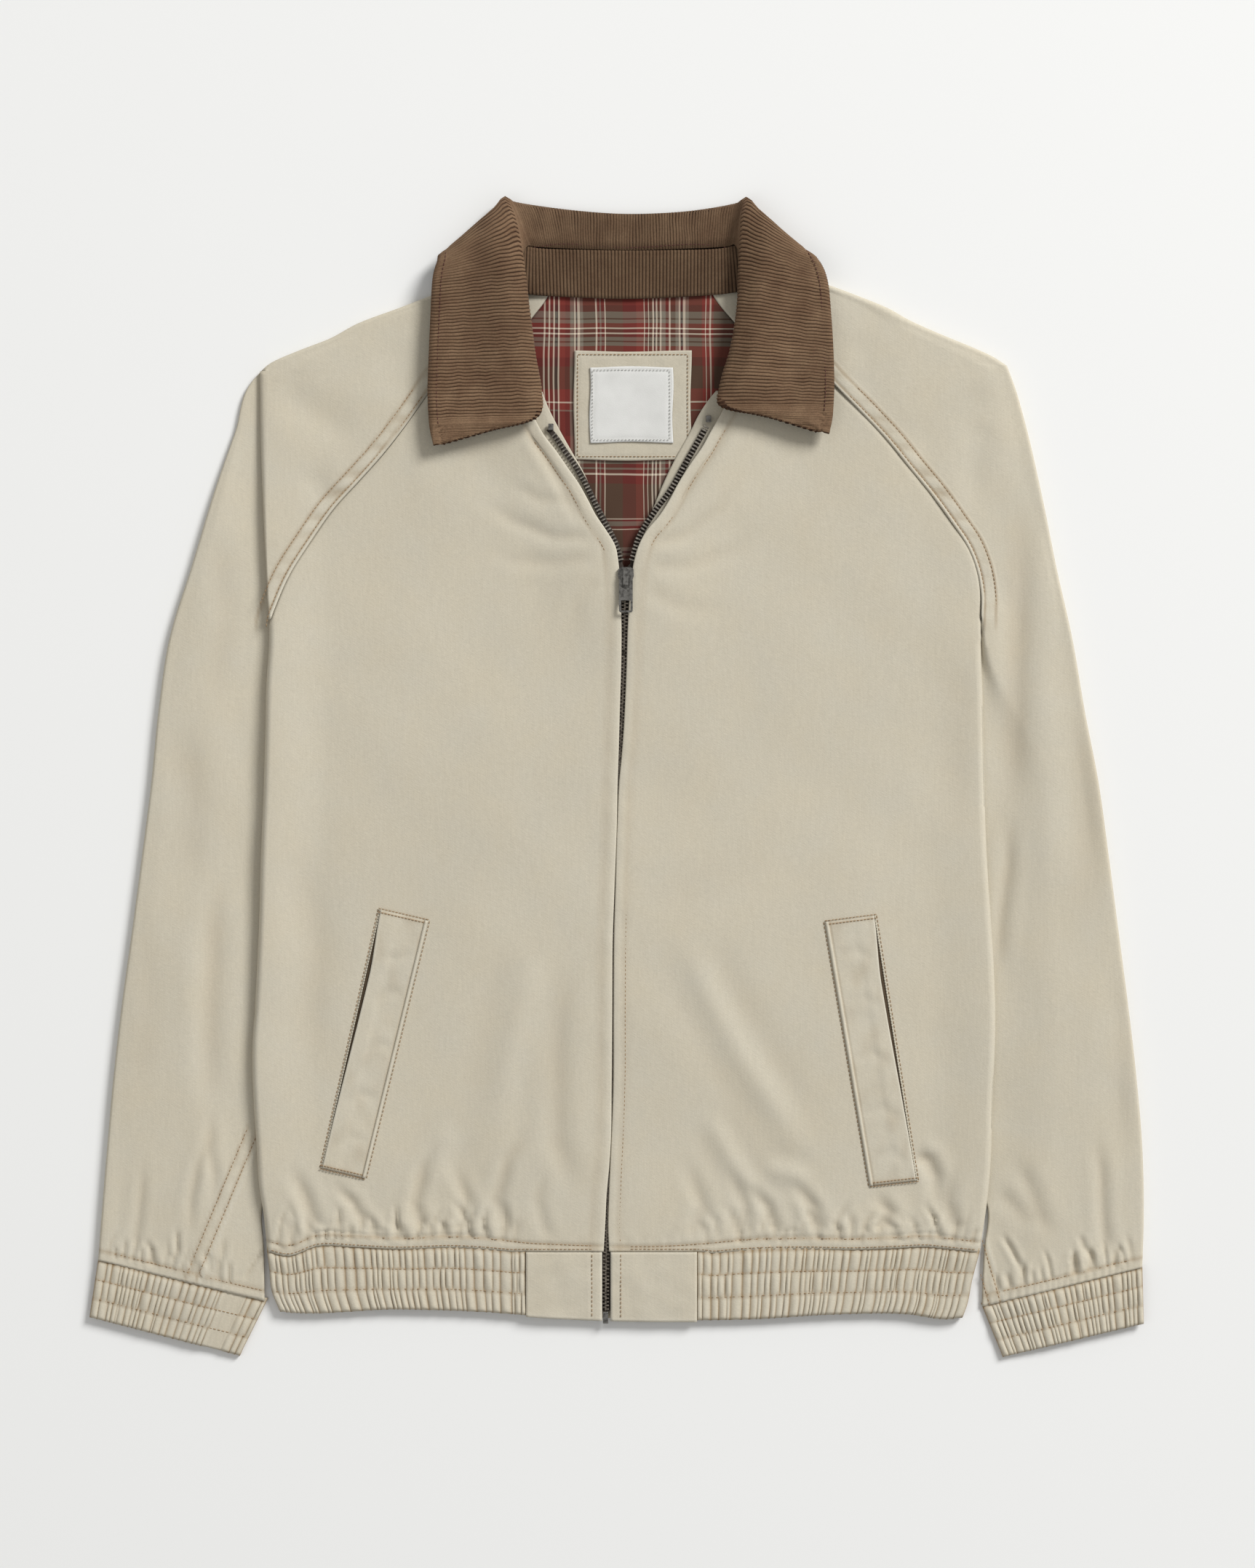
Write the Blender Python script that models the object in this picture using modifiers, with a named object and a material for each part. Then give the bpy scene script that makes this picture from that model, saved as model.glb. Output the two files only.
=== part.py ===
"""Zip-front raglan jacket, laid flat on its back with the sleeves folded down beside the body.

Frame: X to the viewer's right, Y towards the neck, Z up off the surface it lies on.
Every size below is in millimetres. "left" and "right" are the viewer's, X below and above zero.
Heights are those of the middle of a cloth wall, unless a name says otherwise.
"""
import math
from bisect import bisect_right

import bmesh
import bpy
import numpy as np

MM = 0.001

# cloth walls
TWILL = 1.5
CORD = 2.4
STAND = 2.0
LINING = 1.0
PATCH = 1.0
TRIM = 1.2
SEAM = 0.35

# levels of the stacked layers
FLOOR = TWILL / 2
LAYER = 2.2
UNDER = FLOOR + LAYER
OVER = UNDER + LAYER
SLEEVE_TOP = 6.0
FRONT_TOP = 6.2
LINING_LEVEL = 2.3
FACING_LEVEL = 5.3

# the zip and the cloth beside it: low down the front, and raised at the open neck
NECK_LIFT = 2.0
ZIP_TOP = 6.4
TAPE_LEVEL = 4.6
CHAIN_LEVEL = 6.2

# rows across the garment
HEM_Y = -325.0
LOW_Y = -284.0
ARM_LEFT_Y = 109.0
ARM_RIGHT_Y = 112.0
TIP_LEFT = (-244.0, 280.0)
TIP_RIGHT = (269.0, 284.0)
NECK_Y = 322.0
V_Y = 147.0

# colours, linear
KHAKI = (0.56, 0.50, 0.38)
BROWN = (0.13, 0.085, 0.06)
PLAID = (0.22, 0.06, 0.05)
WHITE = (0.80, 0.80, 0.77)
TAN = (0.50, 0.43, 0.31)
DARK_TAPE = (0.16, 0.13, 0.10)
GUNMETAL = (0.20, 0.19, 0.18)


def track(rows):
    """A smooth curve through rows of (at, value), read at any place between them."""
    rows = sorted(rows)
    ats = [row[0] for row in rows]
    values = [row[1] for row in rows]
    slopes = np.gradient(values, ats)

    def read(at):
        at = min(max(at, ats[0]), ats[-1])
        k = min(bisect_right(ats, at), len(ats) - 1) - 1
        span = ats[k + 1] - ats[k]
        t = (at - ats[k]) / span
        rise = values[k] * (2 * t ** 3 - 3 * t ** 2 + 1) + values[k + 1] * (3 * t ** 2 - 2 * t ** 3)
        lean = slopes[k] * (t ** 3 - 2 * t ** 2 + t) + slopes[k + 1] * (t ** 3 - t ** 2)
        return rise + span * lean

    return read


def ease(t):
    """Zero below 0, one above 1, smooth between."""
    t = min(max(t, 0.0), 1.0)
    return t * t * (3 - 2 * t)


def mix(a, b, t):
    return a + (b - a) * t


# ---------------------------------------------------------------- outlines, as (y, x)

ZIP = track([(147, 7.0), (110, 6.3), (50, 5.5), (-4, 0.7), (-85, -0.9), (-160, -2.0), (-273, -3.6),
             (-322, -6.3), (-373, -6.9)])

LEFT = {
    "side": -1,
    "inner": track([(-325, -8.9), (-273, -6.2), (-160, -4.6), (-85, -3.4), (-4, -1.8), (50, 2.9), (110, 3.8),
                    (147, 1.8), (153, 1.0), (159, -0.2), (171, -6.3), (181, -14.2), (202, -24.5), (219, -34.8),
                    (234.6, -46.8), (247, -54.0), (265, -60.0), (285, -68.0), (305, -77.0), (322, -87.0)]),
    "raglan": track([(97, -237.3), (109, -236.6), (121, -232.4), (140, -224.0), (162.4, -210.0),
                     (186.5, -193.0), (205.4, -175.7), (222.6, -160.3), (238, -148.0), (263, -130.0),
                     (290, -110.0), (322, -87.0)]),
    "edge": track([(280, -244.0), (222.6, -243.0), (174.4, -241.0), (126.3, -238.6), (97, -237.3),
                   (64.4, -239.3), (30, -240.0), (-3, -241.0), (-52.5, -243.0), (-103, -244.5),
                   (-153.5, -247.0), (-185.5, -249.0), (-223.5, -248.0), (-253.5, -246.0), (-278.5, -244.5),
                   (-302.5, -241.0), (-314.5, -240.0), (-325, -239.5)]),
    "shoulder": track([(280, -244.0), (285.5, -237.6), (294.7, -217.0), (302, -198.0), (313.6, -176.0),
                       (324, -148.0), (332, -127.0), (340, -106.0), (346, -90.0)]),
    "outer": track([(280, -244.0), (277, -247.0), (238, -261.7), (198.5, -275.4), (147, -291.0),
                    (97, -306.4), (47, -314.0), (-3, -319.0), (-52.5, -325.3), (-103, -332.0),
                    (-153.5, -339.0), (-203.5, -344.8), (-253.5, -349.3), (-303.5, -353.4), (-331, -355.5)]),
    "hidden": track([(280, -244.0), (268, -241.5), (240, -236.0), (180, -222.0), (109, -206.5), (97, -205.5),
                     (0, -212.0), (-105, -218.0), (-200, -222.0), (-262, -230.0), (-290, -243.6),
                     (-310, -242.2), (-331, -241.6), (-360, -241.0)]),
    "back_raglan": track([(109, -207.5), (140, -194.0), (200, -160.0), (263, -122.0), (300, -98.0),
                          (322, -84.0)]),
    "rise": track([(300, 0.25), (270, 0.8), (240, 1.0), (-300, 1.0), (-325, 0.6)]),
    "cuff_slope": 0.25,
    "cuff_start": -331.0,
    "tip": TIP_LEFT,
}

RIGHT = {
    "side": 1,
    "inner": track([(-325, -3.7), (-273, -1.0), (-160, 0.6), (-85, 1.7), (-4, 3.3), (50, 8.1), (110, 8.9),
                    (147, 12.6), (160, 16.2), (170, 21.5), (180, 30.0), (190, 36.5), (203, 43.5),
                    (215, 51.0), (228, 60.0), (238, 65.5), (250, 72.5), (265, 80.0), (285, 90.0),
                    (305, 99.0), (322, 108.0)]),
    "raglan": track([(112, 251.0), (126.3, 251.2), (143.5, 248.4), (160.7, 241.6), (176, 231.3),
                     (195, 217.5), (214, 202.0), (233, 186.6), (255, 166.0), (270.7, 150.5), (295, 129.0),
                     (322, 108.0)]),
    "edge": track([(126, 251.0), (97, 250.6), (50, 252.0), (0, 253.0), (-50, 254.5), (-90, 257.0),
                   (-130, 259.5), (-160, 260.5), (-190, 260.0), (-225, 258.5), (-250, 258.0), (-280, 256.0),
                   (-305, 253.0), (-318, 251.0), (-325, 250.2)]),
    "shoulder": track([(284, 269.0), (290.6, 258.8), (295.4, 248.4), (306.8, 221.0), (315.4, 202.0),
                       (324, 186.5), (331, 169.4), (340, 145.0), (346, 128.0), (350, 115.0)]),
    "outer": track([(284, 269.0), (270.7, 274.0), (246.6, 281.0), (195, 293.0), (143.5, 303.4),
                    (97, 313.8), (47, 322.4), (-3, 332.0), (-53.5, 339.0), (-103.5, 345.5),
                    (-153.5, 352.0), (-203.5, 357.8), (-253.5, 362.0), (-303.5, 363.0), (-336, 362.0)]),
    "hidden": track([(112, 251.4), (106, 251.4), (100, 247.0), (90, 241.0), (50, 233.0), (0, 229.0),
                     (-105, 228.0), (-200, 229.0), (-262, 238.0), (-290, 256.4), (-310, 254.0),
                     (-336, 252.4), (-363, 253.0)]),
    "back_raglan": track([(100, 246.0), (126, 236.0), (160, 214.0), (200, 184.0), (263, 143.0),
                          (300, 119.0), (322, 104.0)]),
    "rise": track([(300, 0.0), (190, 0.05), (150, 0.2), (126, 0.4), (98, 0.75), (60, 0.95), (-20, 1.0),
                   (-300, 1.0), (-325, 0.6)]),
    "cuff_slope": 0.25,
    "cuff_start": -336.0,
    "tip": TIP_RIGHT,
}

# ---------------------------------------------------------------- heights

EDGE_RISE = 4.4
EDGE_REACH = 44.0
FOLD_RADIUS = 2.6
FLAP_REACH = 7.5
FLAP_START = 10.0


def inside(piece, x, y):
    """How far x lies inside the body's side edge, or the shoulder line above the tip."""
    edge = piece["edge"] if y < piece["tip"][1] else piece["shoulder"]
    return -piece["side"] * (x - edge(y))


def neck_lift(y):
    """How far the zip and its tapes stand above their level at the hem."""
    return NECK_LIFT * ease((y - 60) / 70)


def zip_height(x, y):
    """The front layer's height without its rise at the side: highest beside the zip."""
    piece = LEFT if x < ZIP(min(y, V_Y)) else RIGHT
    beside_zip = ZIP_TOP + neck_lift(y)
    level = mix(beside_zip, FRONT_TOP, ease((abs(x - piece["inner"](y)) - 14) / 50))
    return mix(level, beside_zip, ease((y - 235) / 30) * ease((125 - abs(x - 7)) / 40))


def front_height(x, y):
    """Middle of the front layer's wall, over the body and the raglan caps."""
    level = zip_height(x, y)
    piece = LEFT if x < 0 else RIGHT
    depth = inside(piece, x, y)
    return level + EDGE_RISE * piece["rise"](y) * ease(1 - depth / EDGE_REACH)


def rounded(level, depth, radius):
    """Height of a layer that turns down at its edge with a round fold."""
    if depth >= radius:
        return level
    depth = max(depth, 0.0)
    return level - radius + math.sqrt(max(radius ** 2 - (radius - depth) ** 2, 0.0))


def fold_height(y):
    """The layer folded under at the body's side: over the sleeve, and down on the surface at the hem."""
    return mix(OVER, FLOOR, ease((LOW_Y - y) / (LOW_Y - HEM_Y)))


def back_height(x, y):
    """The back panel: flat on the surface, lifted where it crosses a sleeve."""
    lift = 0.0
    for piece in (LEFT, RIGHT):
        crossing = y + 28 if y < -270 else y
        beyond = piece["side"] * (x - piece["hidden"](crossing)) + FLAP_START
        lift = max(lift, ease(beyond / FLAP_REACH))
    return mix(FLOOR, fold_height(y), lift)


def sleeve_height(piece, x, y):
    """The sleeve's front layer: pressed flat where the body lies on it."""
    out = piece["side"] * (x - piece["edge"](y))
    pressed = 1 - ease((out - 4) / 42)
    if piece is RIGHT:
        pressed *= ease((ARM_RIGHT_Y - y) / 10)
    return mix(SLEEVE_TOP, UNDER, pressed)


# ---------------------------------------------------------------- building

def material(name, colour, roughness, metallic=0.0):
    made = bpy.data.materials.new(name)
    made.use_nodes = True
    shader = made.node_tree.nodes["Principled BSDF"]
    shader.inputs["Base Color"].default_value = (*colour, 1.0)
    shader.inputs["Roughness"].default_value = roughness
    shader.inputs["Metallic"].default_value = metallic
    made.diffuse_color = (*colour, 1.0)
    return made


def add(name, mesh, look, group):
    thing = bpy.data.objects.new(name, mesh)
    mesh.materials.append(look)
    group.objects.link(thing)
    return thing


def sheet(name, rows, cols, place, wall, look, group, keep=None):
    """Cloth: a grid of rows by cols squares, laid by place(row, col), with a wall on both sides of it."""
    grid = bmesh.new()
    bmesh.ops.create_grid(grid, x_segments=cols, y_segments=rows, size=0.5)
    spots = {}
    for vert in grid.verts:
        spots[vert] = (round((vert.co.y + 0.5) * rows), round((vert.co.x + 0.5) * cols))
    if keep:
        gone = []
        for face in grid.faces:
            low_row = min(spots[vert][0] for vert in face.verts)
            low_col = min(spots[vert][1] for vert in face.verts)
            if not keep(low_row, low_col):
                gone.append(face)
        bmesh.ops.delete(grid, geom=gone, context="FACES")
    for vert in grid.verts:
        vert.co = [value * MM for value in place(*spots[vert])]
    bmesh.ops.recalc_face_normals(grid, faces=grid.faces)
    mesh = bpy.data.meshes.new(name)
    grid.to_mesh(mesh)
    grid.free()
    mesh.shade_smooth()
    thing = add(name, mesh, look, group)
    solid = thing.modifiers.new("wall", "SOLIDIFY")
    solid.thickness = wall * MM
    solid.offset = 0.0
    return thing


def box(name, low, high, look, group, bevel=0.0):
    """A plain block between two corners."""
    grid = bmesh.new()
    bmesh.ops.create_cube(grid, size=1.0)
    for vert in grid.verts:
        vert.co = [mix(low[k], high[k], vert.co[k] + 0.5) * MM for k in range(3)]
    mesh = bpy.data.meshes.new(name)
    grid.to_mesh(mesh)
    grid.free()
    thing = add(name, mesh, look, group)
    if bevel:
        rounding = thing.modifiers.new("edges", "BEVEL")
        rounding.width = bevel * MM
        rounding.segments = 2
    return thing


# ---------------------------------------------------------------- fronts

FRONT_ROWS = [-325, -310, -290, -262, -225, -185, -145, -105, -60, -10, 40, 80, 97, 108.6, 109.2, 121, 140,
              162, 186, 205, 222, 240, 258, 270, 288, 304, 319]
FRONT_COLS = 9
ARC_COLS = 3
RETURN = 14.0


def front_fold_top(piece):
    return 108.6 if piece is LEFT else 97.0


def front_place(piece):
    side = piece["side"]

    def place(row, col):
        y = FRONT_ROWS[row]
        folded = y <= front_fold_top(piece)
        start = piece["inner"](y)
        if folded:
            stop = piece["edge"](y)
        else:
            stop = piece["raglan"](y) - side * SEAM / 2
        if col <= FRONT_COLS:
            t = col / FRONT_COLS
            t = mix(t, 1 - (1 - t) ** 2, 0.35)
            x = mix(start, stop, t)
            top = front_height(x, y)
            radius = (front_height(piece["edge"](y), y) - fold_height(y)) / 2
            if piece is LEFT or folded:
                top = rounded(top, inside(piece, x, y), radius)
            return x, y, top
        low = fold_height(y)
        radius = (front_height(stop, y) - low) / 2
        if col <= FRONT_COLS + ARC_COLS:
            turn = math.pi / 2 * (col - FRONT_COLS) / ARC_COLS
            return stop - side * radius * (1 - math.cos(turn)), y, low + radius * (1 - math.sin(turn))
        return stop - side * RETURN, y, low

    return place


def make_fronts(look, group):
    for name, piece in (("front_left", LEFT), ("front_right", RIGHT)):
        fold_row = FRONT_ROWS.index(108.6) if piece is LEFT else FRONT_ROWS.index(97)

        def keep(row, col, fold_row=fold_row):
            return col < FRONT_COLS or row < fold_row

        sheet(name, len(FRONT_ROWS) - 1, FRONT_COLS + ARC_COLS + 1, front_place(piece), TWILL, look, group, keep)


# ---------------------------------------------------------------- back

BACK_ROWS = [-325, -310, -290, -262, -225, -185, -145, -105, -60, -10, 40, 80, 97, 110.2, 121, 140, 162,
             186, 205, 222, 240, 258, 270, 292, 308, 322, 330]
BACK_COLS = 8
FLAP_COLS = 3
BACK_NECK = track([(-87, 322.0), (-60, 331.0), (8, 330.5), (66, 331.5), (108, 322.0)])


def back_side(piece, y):
    """Where the back panel's flat middle ends: at its raglan seam, or beside the sleeve that it climbs."""
    if y > 100:
        return piece["back_raglan"](y)
    side = piece["side"]
    seam = piece["edge"](y) - side * (RETURN + SEAM)
    return side * min(side * (piece["hidden"](y) - side * FLAP_START), side * seam - 9)


def flap_x(piece, y, start, step):
    """Columns of the part that climbs over the sleeve: a short rise, then level to the side seam."""
    side = piece["side"]
    seam = piece["edge"](y) - side * (RETURN + SEAM)
    climb = min(abs(seam - start) * 0.5, FLAP_REACH)
    return (start + side * climb, mix(start + side * climb, seam, 0.5), seam)[step - 1]


def back_place(row, col):
    y = BACK_ROWS[row]
    left = back_side(LEFT, y)
    right = back_side(RIGHT, y)
    if y >= NECK_Y:
        left = mix(LEFT["back_raglan"](NECK_Y), -58, (y - NECK_Y) / 10)
        right = mix(RIGHT["back_raglan"](NECK_Y), 70, (y - NECK_Y) / 10)
    if col < FLAP_COLS:
        x = flap_x(LEFT, y, left, FLAP_COLS - col)
    elif col > FLAP_COLS + BACK_COLS:
        x = flap_x(RIGHT, y, right, col - FLAP_COLS - BACK_COLS)
    else:
        return mix(left, right, (col - FLAP_COLS) / BACK_COLS), y, FLOOR
    return x, y, back_height(x, y) if y < 100 else FLOOR


def back_keep(row, col):
    if FLAP_COLS <= col < FLAP_COLS + BACK_COLS:
        return True
    return BACK_ROWS[row + 1] <= 97


def make_back(look, group):
    sheet("back", len(BACK_ROWS) - 1, BACK_COLS + 2 * FLAP_COLS, back_place, TWILL, look, group, back_keep)


# ---------------------------------------------------------------- sleeves

SLEEVE_END = "end"
LEFT_ROWS = [SLEEVE_END, -310, -290, -262, -225, -185, -145, -105, -60, -10, 40, 80, 97, 110.2, 121, 140, 162,
             186, 205, 222, 240, 258, 270, 280.5, 292, 308, 322, 332, 340]
RIGHT_ROWS = [SLEEVE_END, -310, -290, -262, -225, -185, -145, -105, -60, -10, 40, 80, 90, 100, 106, 112.5,
              121, 140, 162, 186, 205, 222, 240, 258, 270, 284.5, 292, 308, 322, 334, 344]
CAP = 5
FOLD = 3
TUCK = 1
TURN = 2
SPREAD = 6
ROUND = 3
BEHIND = 4
LEFT_COUNTS = (CAP, FOLD, TUCK, TURN, SPREAD, ROUND, BEHIND)
RIGHT_SPREAD = 8
SHOULDER_SLANT = 2.4


def sleeve_bounds(piece, y):
    """Where the sleeve starts at the front and stops at the back, at this height on the jacket."""
    start = piece["raglan"](min(y, NECK_Y)) + piece["side"] * SEAM / 2
    stop = piece["back_raglan"](min(y, NECK_Y)) + piece["side"] * SEAM
    return start, stop


def end_shift(piece, row, x, outer):
    """The cuff seam runs at a slope, so the last rows tilt towards it."""
    ends = {0: 1.0, 1: 0.55, 2: 0.25, 3: 0.08}
    return -piece["cuff_slope"] * abs(x - outer) * ends.get(row, 0.0)


def over_edge(x, turn, high, low, side, slant=1.0):
    """A point on a round edge that turns down from one level to another, turn 0 to 1.

    An edge that runs at a slope is cut at a slant by a row, which widens the round."""
    radius = (high - low) / 2
    angle = math.pi * turn
    return x - side * slant * radius * (1 - math.sin(angle)), low + radius * (1 + math.cos(angle))


def shoulder_section(piece, y, col, counts):
    """Above the shoulder tip: cap, round shoulder edge, back."""
    side = piece["side"]
    start, stop = sleeve_bounds(piece, y)
    edge = piece["shoulder"](y)
    high = front_height(edge - side * 4, y)
    radius = (high - FLOOR) / 2
    first = counts[0]
    last = sum(counts[:-1])
    slant = mix(1.3, SHOULDER_SLANT, ease((y - piece["tip"][1]) / 15))
    brink = edge - side * slant * radius
    if col <= first:
        x = mix(start, brink, col / first)
        return x, front_height(x, y) if col < first else high
    if col < last:
        return over_edge(edge, (col - first) / (last - first), high, FLOOR, side, slant)
    return mix(brink, stop, (col - last) / counts[-1]), FLOOR


def folded_section(piece, y, col):
    """Between the underarm and the tip on the left: cap, fold under, hidden layer, fold out, sleeve."""
    side = piece["side"]
    start, stop = sleeve_bounds(piece, y)
    edge = piece["edge"](y)
    hidden = piece["hidden"](y)
    outer = piece["outer"](y)
    high = front_height(edge, y)
    radius = (high - OVER) / 2
    if col <= CAP:
        x = mix(start, edge, col / CAP)
        return x, rounded(front_height(x, y), inside(piece, x, y), radius)
    col -= CAP
    if col <= FOLD:
        turn = math.pi / 2 * col / FOLD
        return edge - side * radius * (1 - math.cos(turn)), OVER + radius * (1 - math.sin(turn))
    col -= FOLD
    tight = LAYER / 2
    near = max(hidden - tight, edge + radius + 0.2)
    if col <= TUCK:
        return mix(edge + radius, near, col / TUCK), OVER
    col -= TUCK
    if col <= TURN:
        angle = math.pi * col / TURN
        return near + tight * math.sin(angle), UNDER + tight * (1 + math.cos(angle))
    col -= TURN
    return spread_section(piece, y, col, near, stop, outer, SPREAD)


def spread_section(piece, y, col, near, stop, outer, spread):
    """The sleeve's own front layer, its outer edge and its back layer."""
    side = piece["side"]
    level = sleeve_height(piece, outer - side * 3, y)
    radius = (level - FLOOR) / 2
    brink = outer - side * radius
    if col <= spread:
        x = mix(near, brink, col / spread)
        return x, sleeve_height(piece, x, y) if col < spread else level
    col -= spread
    if col < ROUND:
        return over_edge(outer, col / ROUND, level, FLOOR, side)
    col -= ROUND
    return mix(brink, stop, col / BEHIND), FLOOR


def left_sleeve_place(row, col):
    y = LEFT_ROWS[row]
    if y == SLEEVE_END:
        y = LEFT["cuff_start"]
    outer = LEFT["outer"](y)
    if y > TIP_LEFT[1]:
        x, z = shoulder_section(LEFT, y, col, LEFT_COUNTS)
    elif y > ARM_LEFT_Y:
        x, z = folded_section(LEFT, y, col)
    else:
        near = LEFT["hidden"](y)
        x, z = spread_section(LEFT, y, max(col - CAP - FOLD - TUCK - TURN, 0), near, near, outer, SPREAD)
    return x, y + end_shift(LEFT, row, x, outer), z


def left_sleeve_keep(row, col):
    return col >= CAP + FOLD + TUCK + TURN or LEFT_ROWS[row] != SLEEVE_END and LEFT_ROWS[row] > ARM_LEFT_Y


def right_start_height(y):
    """The right sleeve leaves the raglan seam and dips under the body's edge below it."""
    return mix(UNDER, front_height(RIGHT["edge"](112), 112), ease((y - 102) / 10))


def right_sleeve_place(row, col):
    y = RIGHT_ROWS[row]
    if y == SLEEVE_END:
        y = RIGHT["cuff_start"]
    outer = RIGHT["outer"](y)
    if y > TIP_RIGHT[1]:
        x, z = shoulder_section(RIGHT, y, col, (RIGHT_SPREAD, ROUND, BEHIND))
    else:
        start, stop = sleeve_bounds(RIGHT, y)
        if y < ARM_RIGHT_Y:
            start = RIGHT["hidden"](y)
            stop = start if y < 100 else stop
        x, z = spread_section(RIGHT, y, col, start, stop, outer, RIGHT_SPREAD)
        if col < RIGHT_SPREAD and y > ARM_RIGHT_Y:
            away = ease((x - 240) / 40)
            z = mix(front_height(min(x, 250), y), z, away)
        elif col < RIGHT_SPREAD and y > 100:
            z = mix(right_start_height(y), z, ease((x - start) / 35))
    return x, y + end_shift(RIGHT, row, x, outer), z


def make_sleeves(look, group):
    sheet("sleeve_left", len(LEFT_ROWS) - 1, sum(LEFT_COUNTS), left_sleeve_place, TWILL, look, group,
          left_sleeve_keep)
    sheet("sleeve_right", len(RIGHT_ROWS) - 1, RIGHT_SPREAD + ROUND + BEHIND, right_sleeve_place, TWILL, look,
          group)


# ---------------------------------------------------------------- gathered bands

GATHER = 0.8
BAND_ROWS = 3


def gathered(step, amount):
    """Every other column of a gathered band stands up."""
    return amount if step % 2 else 0.0


CUFFS = {
    # corners: top outer, top inner, bottom outer, bottom inner
    "cuff_left": ((-355.5, -331.4), (-241.0, -360.2), (-361.5, -370.0), (-259.0, -396.6)),
    "cuff_right": ((362.0, -336.4), (253.0, -363.4), (363.0, -374.5), (267.0, -397.5)),
}
CUFF_FOLDS = 11
CUFF_TOP = 4.6


def make_cuffs(look, group):
    face = 2 * CUFF_FOLDS
    for name, (top_out, top_in, low_out, low_in) in CUFFS.items():
        def place(row, col, top_out=top_out, top_in=top_in, low_out=low_out, low_in=low_in):
            down = row / BAND_ROWS
            front = col <= face
            t = col / face if front else (2 * face + 1 - col) / face
            point = []
            for k in range(2):
                high = mix(top_out[k], top_in[k], t)
                low = mix(low_out[k], low_in[k], t)
                point.append(mix(high, low, down))
            swell = math.sin(math.pi * min(max(t, 0.02), 0.98)) ** 0.5
            wave = gathered(col, GATHER * ease(down * 3))
            if front:
                return *point, mix(UNDER, CUFF_TOP, swell) + wave
            return *point, FLOOR + wave

        sheet(name, BAND_ROWS, 2 * face + 1, place, TWILL, look, group)


HEM_BOTTOM = track([(-240, -364.5), (-230, -366.0), (-148, -364.5), (-80, -367.0), (-61, -368.5), (56, -372.0),
                    (94, -371.3), (152, -368.0), (202, -368.0), (228, -371.3), (242, -369.5)])
HEM_LEFT = track([(-325, -239.5), (-337, -238.0), (-354, -236.0), (-366, -230.7)])
HEM_RIGHT = track([(-325, 250.2), (-344, 245.0), (-361, 241.0), (-370, 236.4)])
TAB_LEFT_X = -61.6
TAB_RIGHT_X = 56.0
HEM_FOLDS = {"left": 17, "back": 30, "right": 18}


def hem_top(x, y):
    """Height of the hem's front layer, kept level with the fronts at the seam."""
    return mix(front_height(x, HEM_Y), zip_height(x, HEM_Y), ease((HEM_Y - y) / 20))


def hem_place(row, col):
    down = row / BAND_ROWS
    left, back, right = (2 * HEM_FOLDS[key] for key in ("left", "back", "right"))
    y_side = mix(HEM_Y - SEAM, -366, down)
    west = HEM_LEFT(y_side)
    east = HEM_RIGHT(y_side)
    wave = gathered(col, GATHER * ease(down * 3))
    if col <= left:
        x = mix(TAB_LEFT_X - SEAM, west, col / left)
        level = hem_top(x, y_side)
        z = rounded(level, x - west, (level - FLOOR) / 2) + wave
    elif col <= left + back + 1:
        x = mix(west + 2.5, east - 2.5, (col - left - 1) / back)
        z = FLOOR + wave
    else:
        x = mix(east, TAB_RIGHT_X + SEAM, (col - left - back - 2) / right)
        level = hem_top(x, y_side)
        z = rounded(level, east - x, (level - FLOOR) / 2) + wave
    y = mix(HEM_Y - SEAM, HEM_BOTTOM(x), down)
    return x, y, z


def make_hem(look, group):
    cols = 2 * sum(HEM_FOLDS.values()) + 2
    sheet("hem_band", BAND_ROWS, cols, hem_place, TWILL, look, group)
    for name, piece, stop in (("hem_tab_left", LEFT, TAB_LEFT_X), ("hem_tab_right", RIGHT, TAB_RIGHT_X)):
        def place(row, col, piece=piece, stop=stop):
            down = row / BAND_ROWS
            start = piece["inner"](-325)
            x = mix(start, stop, col / 5)
            y = mix(HEM_Y - SEAM, HEM_BOTTOM(x) - 1.5, down)
            return x, y, hem_top(x, y)

        sheet(name, BAND_ROWS, 5, place, TWILL, look, group)


# ---------------------------------------------------------------- collar

# over: 1 for a leaf that lies on top, 0 for the fall behind; then roll line, outer edge and inner seam, x, y
COLLAR_ROWS = [
    (1.00, -53.5, 248.0, -125.0, 229.0, -59.0, 251.0),
    (1.00, -51.5, 266.0, -128.5, 243.0, -60.0, 268.0),
    (1.00, -57.0, 298.0, -127.5, 285.0, -66.0, 298.0),
    (1.00, -60.0, 326.0, -126.5, 318.0, -69.0, 324.0),
    (1.00, -64.0, 360.0, -124.5, 342.0, -66.0, 350.0),
    (0.95, -70.5, 386.0, -121.5, 355.0, -63.0, 361.5),
    (0.50, -74.5, 398.0, -119.5, 359.5, -60.5, 366.0),
    (0.05, -66.0, 395.5, -106.0, 358.5, -55.0, 366.0),
    (0.00, -30.0, 391.0, -48.0, 346.0, -28.0, 364.6),
    (0.00, 8.0, 388.5, 9.0, 342.0, 8.0, 363.6),
    (0.00, 46.0, 390.0, 64.0, 347.0, 46.0, 364.6),
    (0.05, 80.0, 394.5, 118.0, 359.0, 76.0, 366.0),
    (0.50, 89.0, 397.5, 131.6, 360.5, 82.0, 367.0),
    (0.95, 86.5, 384.0, 138.0, 355.5, 86.0, 361.5),
    (1.00, 85.5, 358.0, 145.0, 340.0, 90.0, 350.0),
    (1.00, 84.0, 326.0, 147.8, 312.0, 94.0, 324.0),
    (1.00, 81.0, 298.0, 149.3, 286.0, 91.0, 298.0),
    (1.00, 72.5, 270.0, 149.8, 256.0, 82.0, 271.0),
    (1.00, 72.5, 255.0, 146.5, 237.5, 79.0, 258.0),
]
COLLAR_OVER = {"seam": 11.6, "roll": 15.6, "crown": 20.5, "edge": 16.0}
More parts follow.
